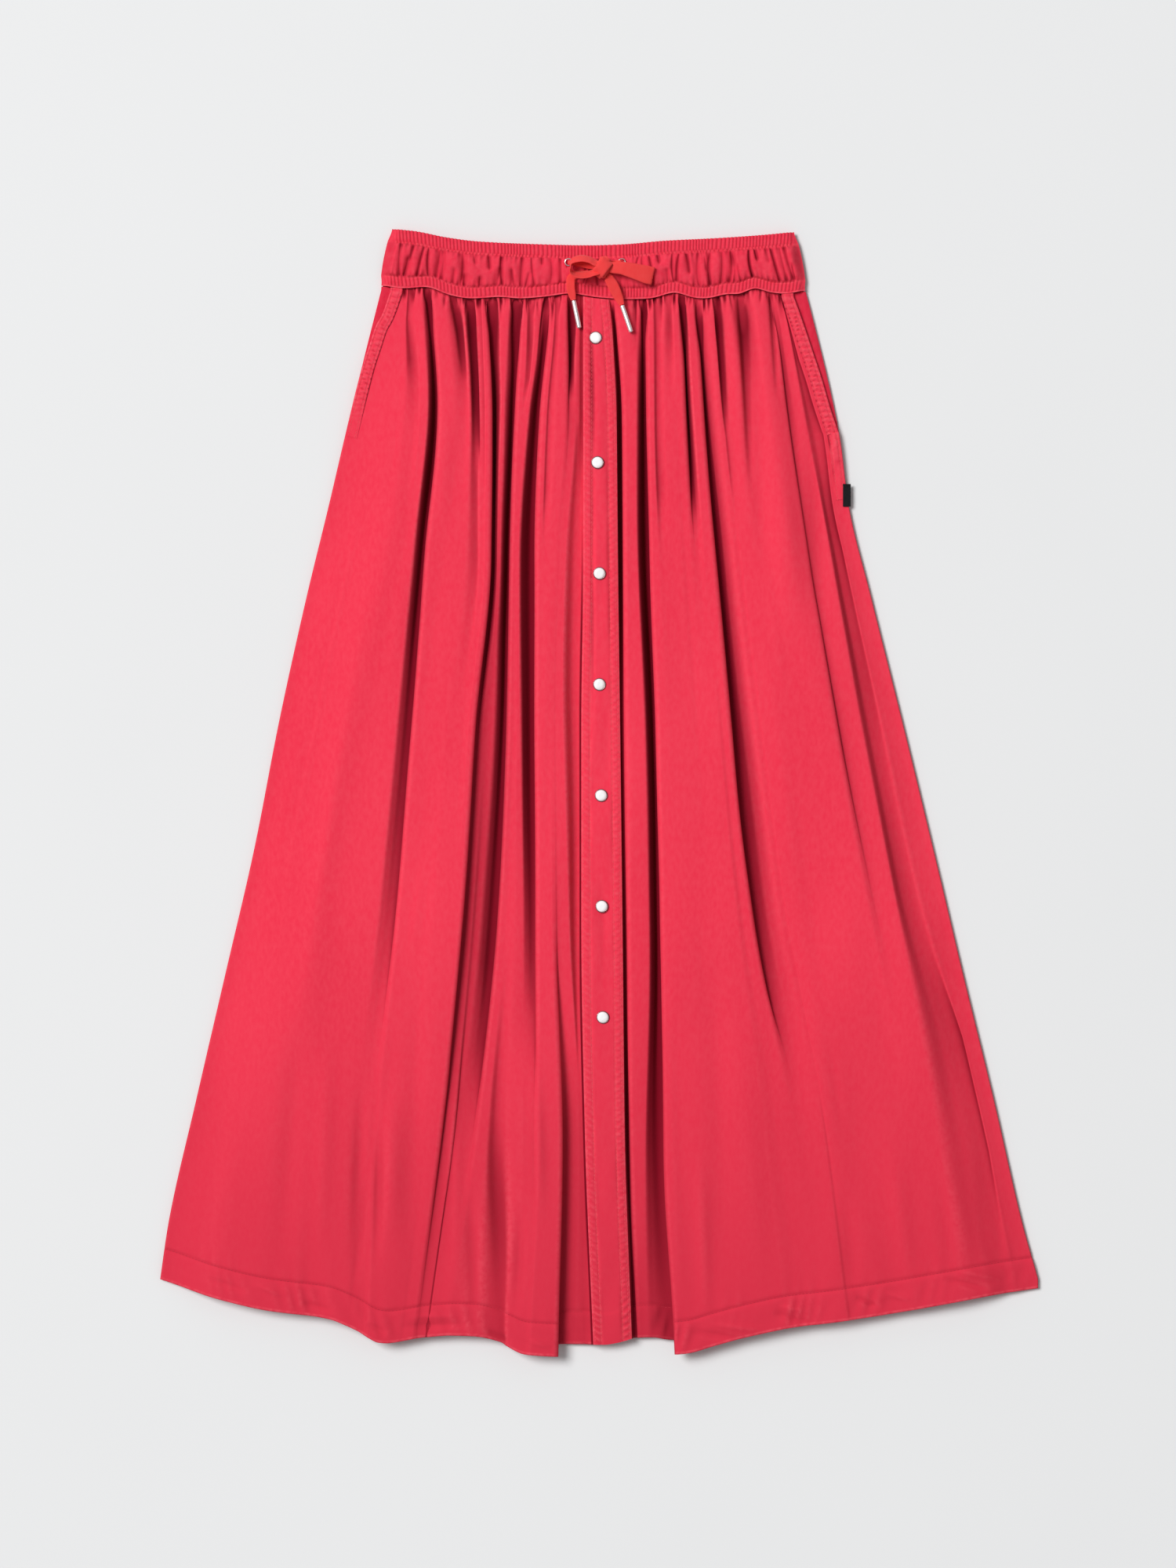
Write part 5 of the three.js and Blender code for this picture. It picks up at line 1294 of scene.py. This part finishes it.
# The plain tab in the side seam
def add_side_tab():
    y = SIDE_TAB["y"]
    down = (side_height("right", 0) - y) / (side_height("right", 0) - side_height("right", 1))
    right = float(outline_edge("right", down)) + SIDE_TAB["outward"]
    under = float(loft(right - SIDE_TAB["width"], down)) + 0.6
    x = np.linspace(right - SIDE_TAB["width"], right, 12)[None] + np.zeros((24, 1))
    rows = np.linspace(y + SIDE_TAB["height"] / 2, y - SIDE_TAB["height"] / 2, 24)[:, None] + np.zeros((1, 12))
    share = (x - x.min()) / SIDE_TAB["width"]
    droop = 0.9 * share ** 2 + 0.2 * np.sin(rows * 0.5)
    outer = np.stack((x, rows, under + 0.9 - droop), axis=-1)
    inner = np.stack((x, rows, under - droop), axis=-1)
    tab = shell_object("side_tab_cloth", outer, inner, BLACK)
    place(tab, "black_tape", "side_tab")


add_side_tab()


# Surface and light
def add_floor():
    mesh = bpy.data.meshes.new("floor")
    reach = 6
    mesh.from_pydata([(-reach, -reach, 0), (reach, -reach, 0), (reach, reach, 0), (-reach, reach, 0)], [],
                     [(0, 1, 2, 3)])
    material, nodes, links, shader = new_material("pale_surface")
    place_on = nodes.new("ShaderNodeTexCoord").outputs["Object"]
    spots = noise(nodes, links, place_on, 3, 2)
    links.new(mixed(nodes, links, spots, (0.79, 0.795, 0.8), (0.77, 0.775, 0.78)), shader.inputs["Base Color"])
    shader.inputs["Roughness"].default_value = 0.9
    mesh.materials.append(material)
    floor = bpy.data.objects.new("floor", mesh)
    floor.location.z = -0.0005
    bpy.context.scene.collection.objects.link(floor)


def add_light(name, spot, aim, size, power):
    data = bpy.data.lights.new(name, "AREA")
    data.shape = "RECTANGLE"
    data.size, data.size_y = size
    data.energy = power
    lamp = bpy.data.objects.new(name, data)
    lamp.location = spot
    towards = np.array(aim, float) - np.array(spot, float)
    yaw = math.atan2(towards[1], towards[0])
    pitch = math.atan2(math.hypot(towards[0], towards[1]), -towards[2])
    lamp.rotation_euler = (pitch, 0, yaw - math.pi / 2)
    bpy.context.scene.collection.objects.link(lamp)


def add_lights():
    world = bpy.data.worlds.new("studio")
    world.use_nodes = True
    world.node_tree.nodes["Background"].inputs["Color"].default_value = (1, 1, 1, 1)
    world.node_tree.nodes["Background"].inputs["Strength"].default_value = 0.32
    bpy.context.scene.world = world
    add_light("key", (-10.4, 6.2, 17.6), (0, 0, 0), (8.6, 8.6), 4200)
    bpy.context.scene.view_settings.view_transform = "Standard"


add_floor()
add_lights()
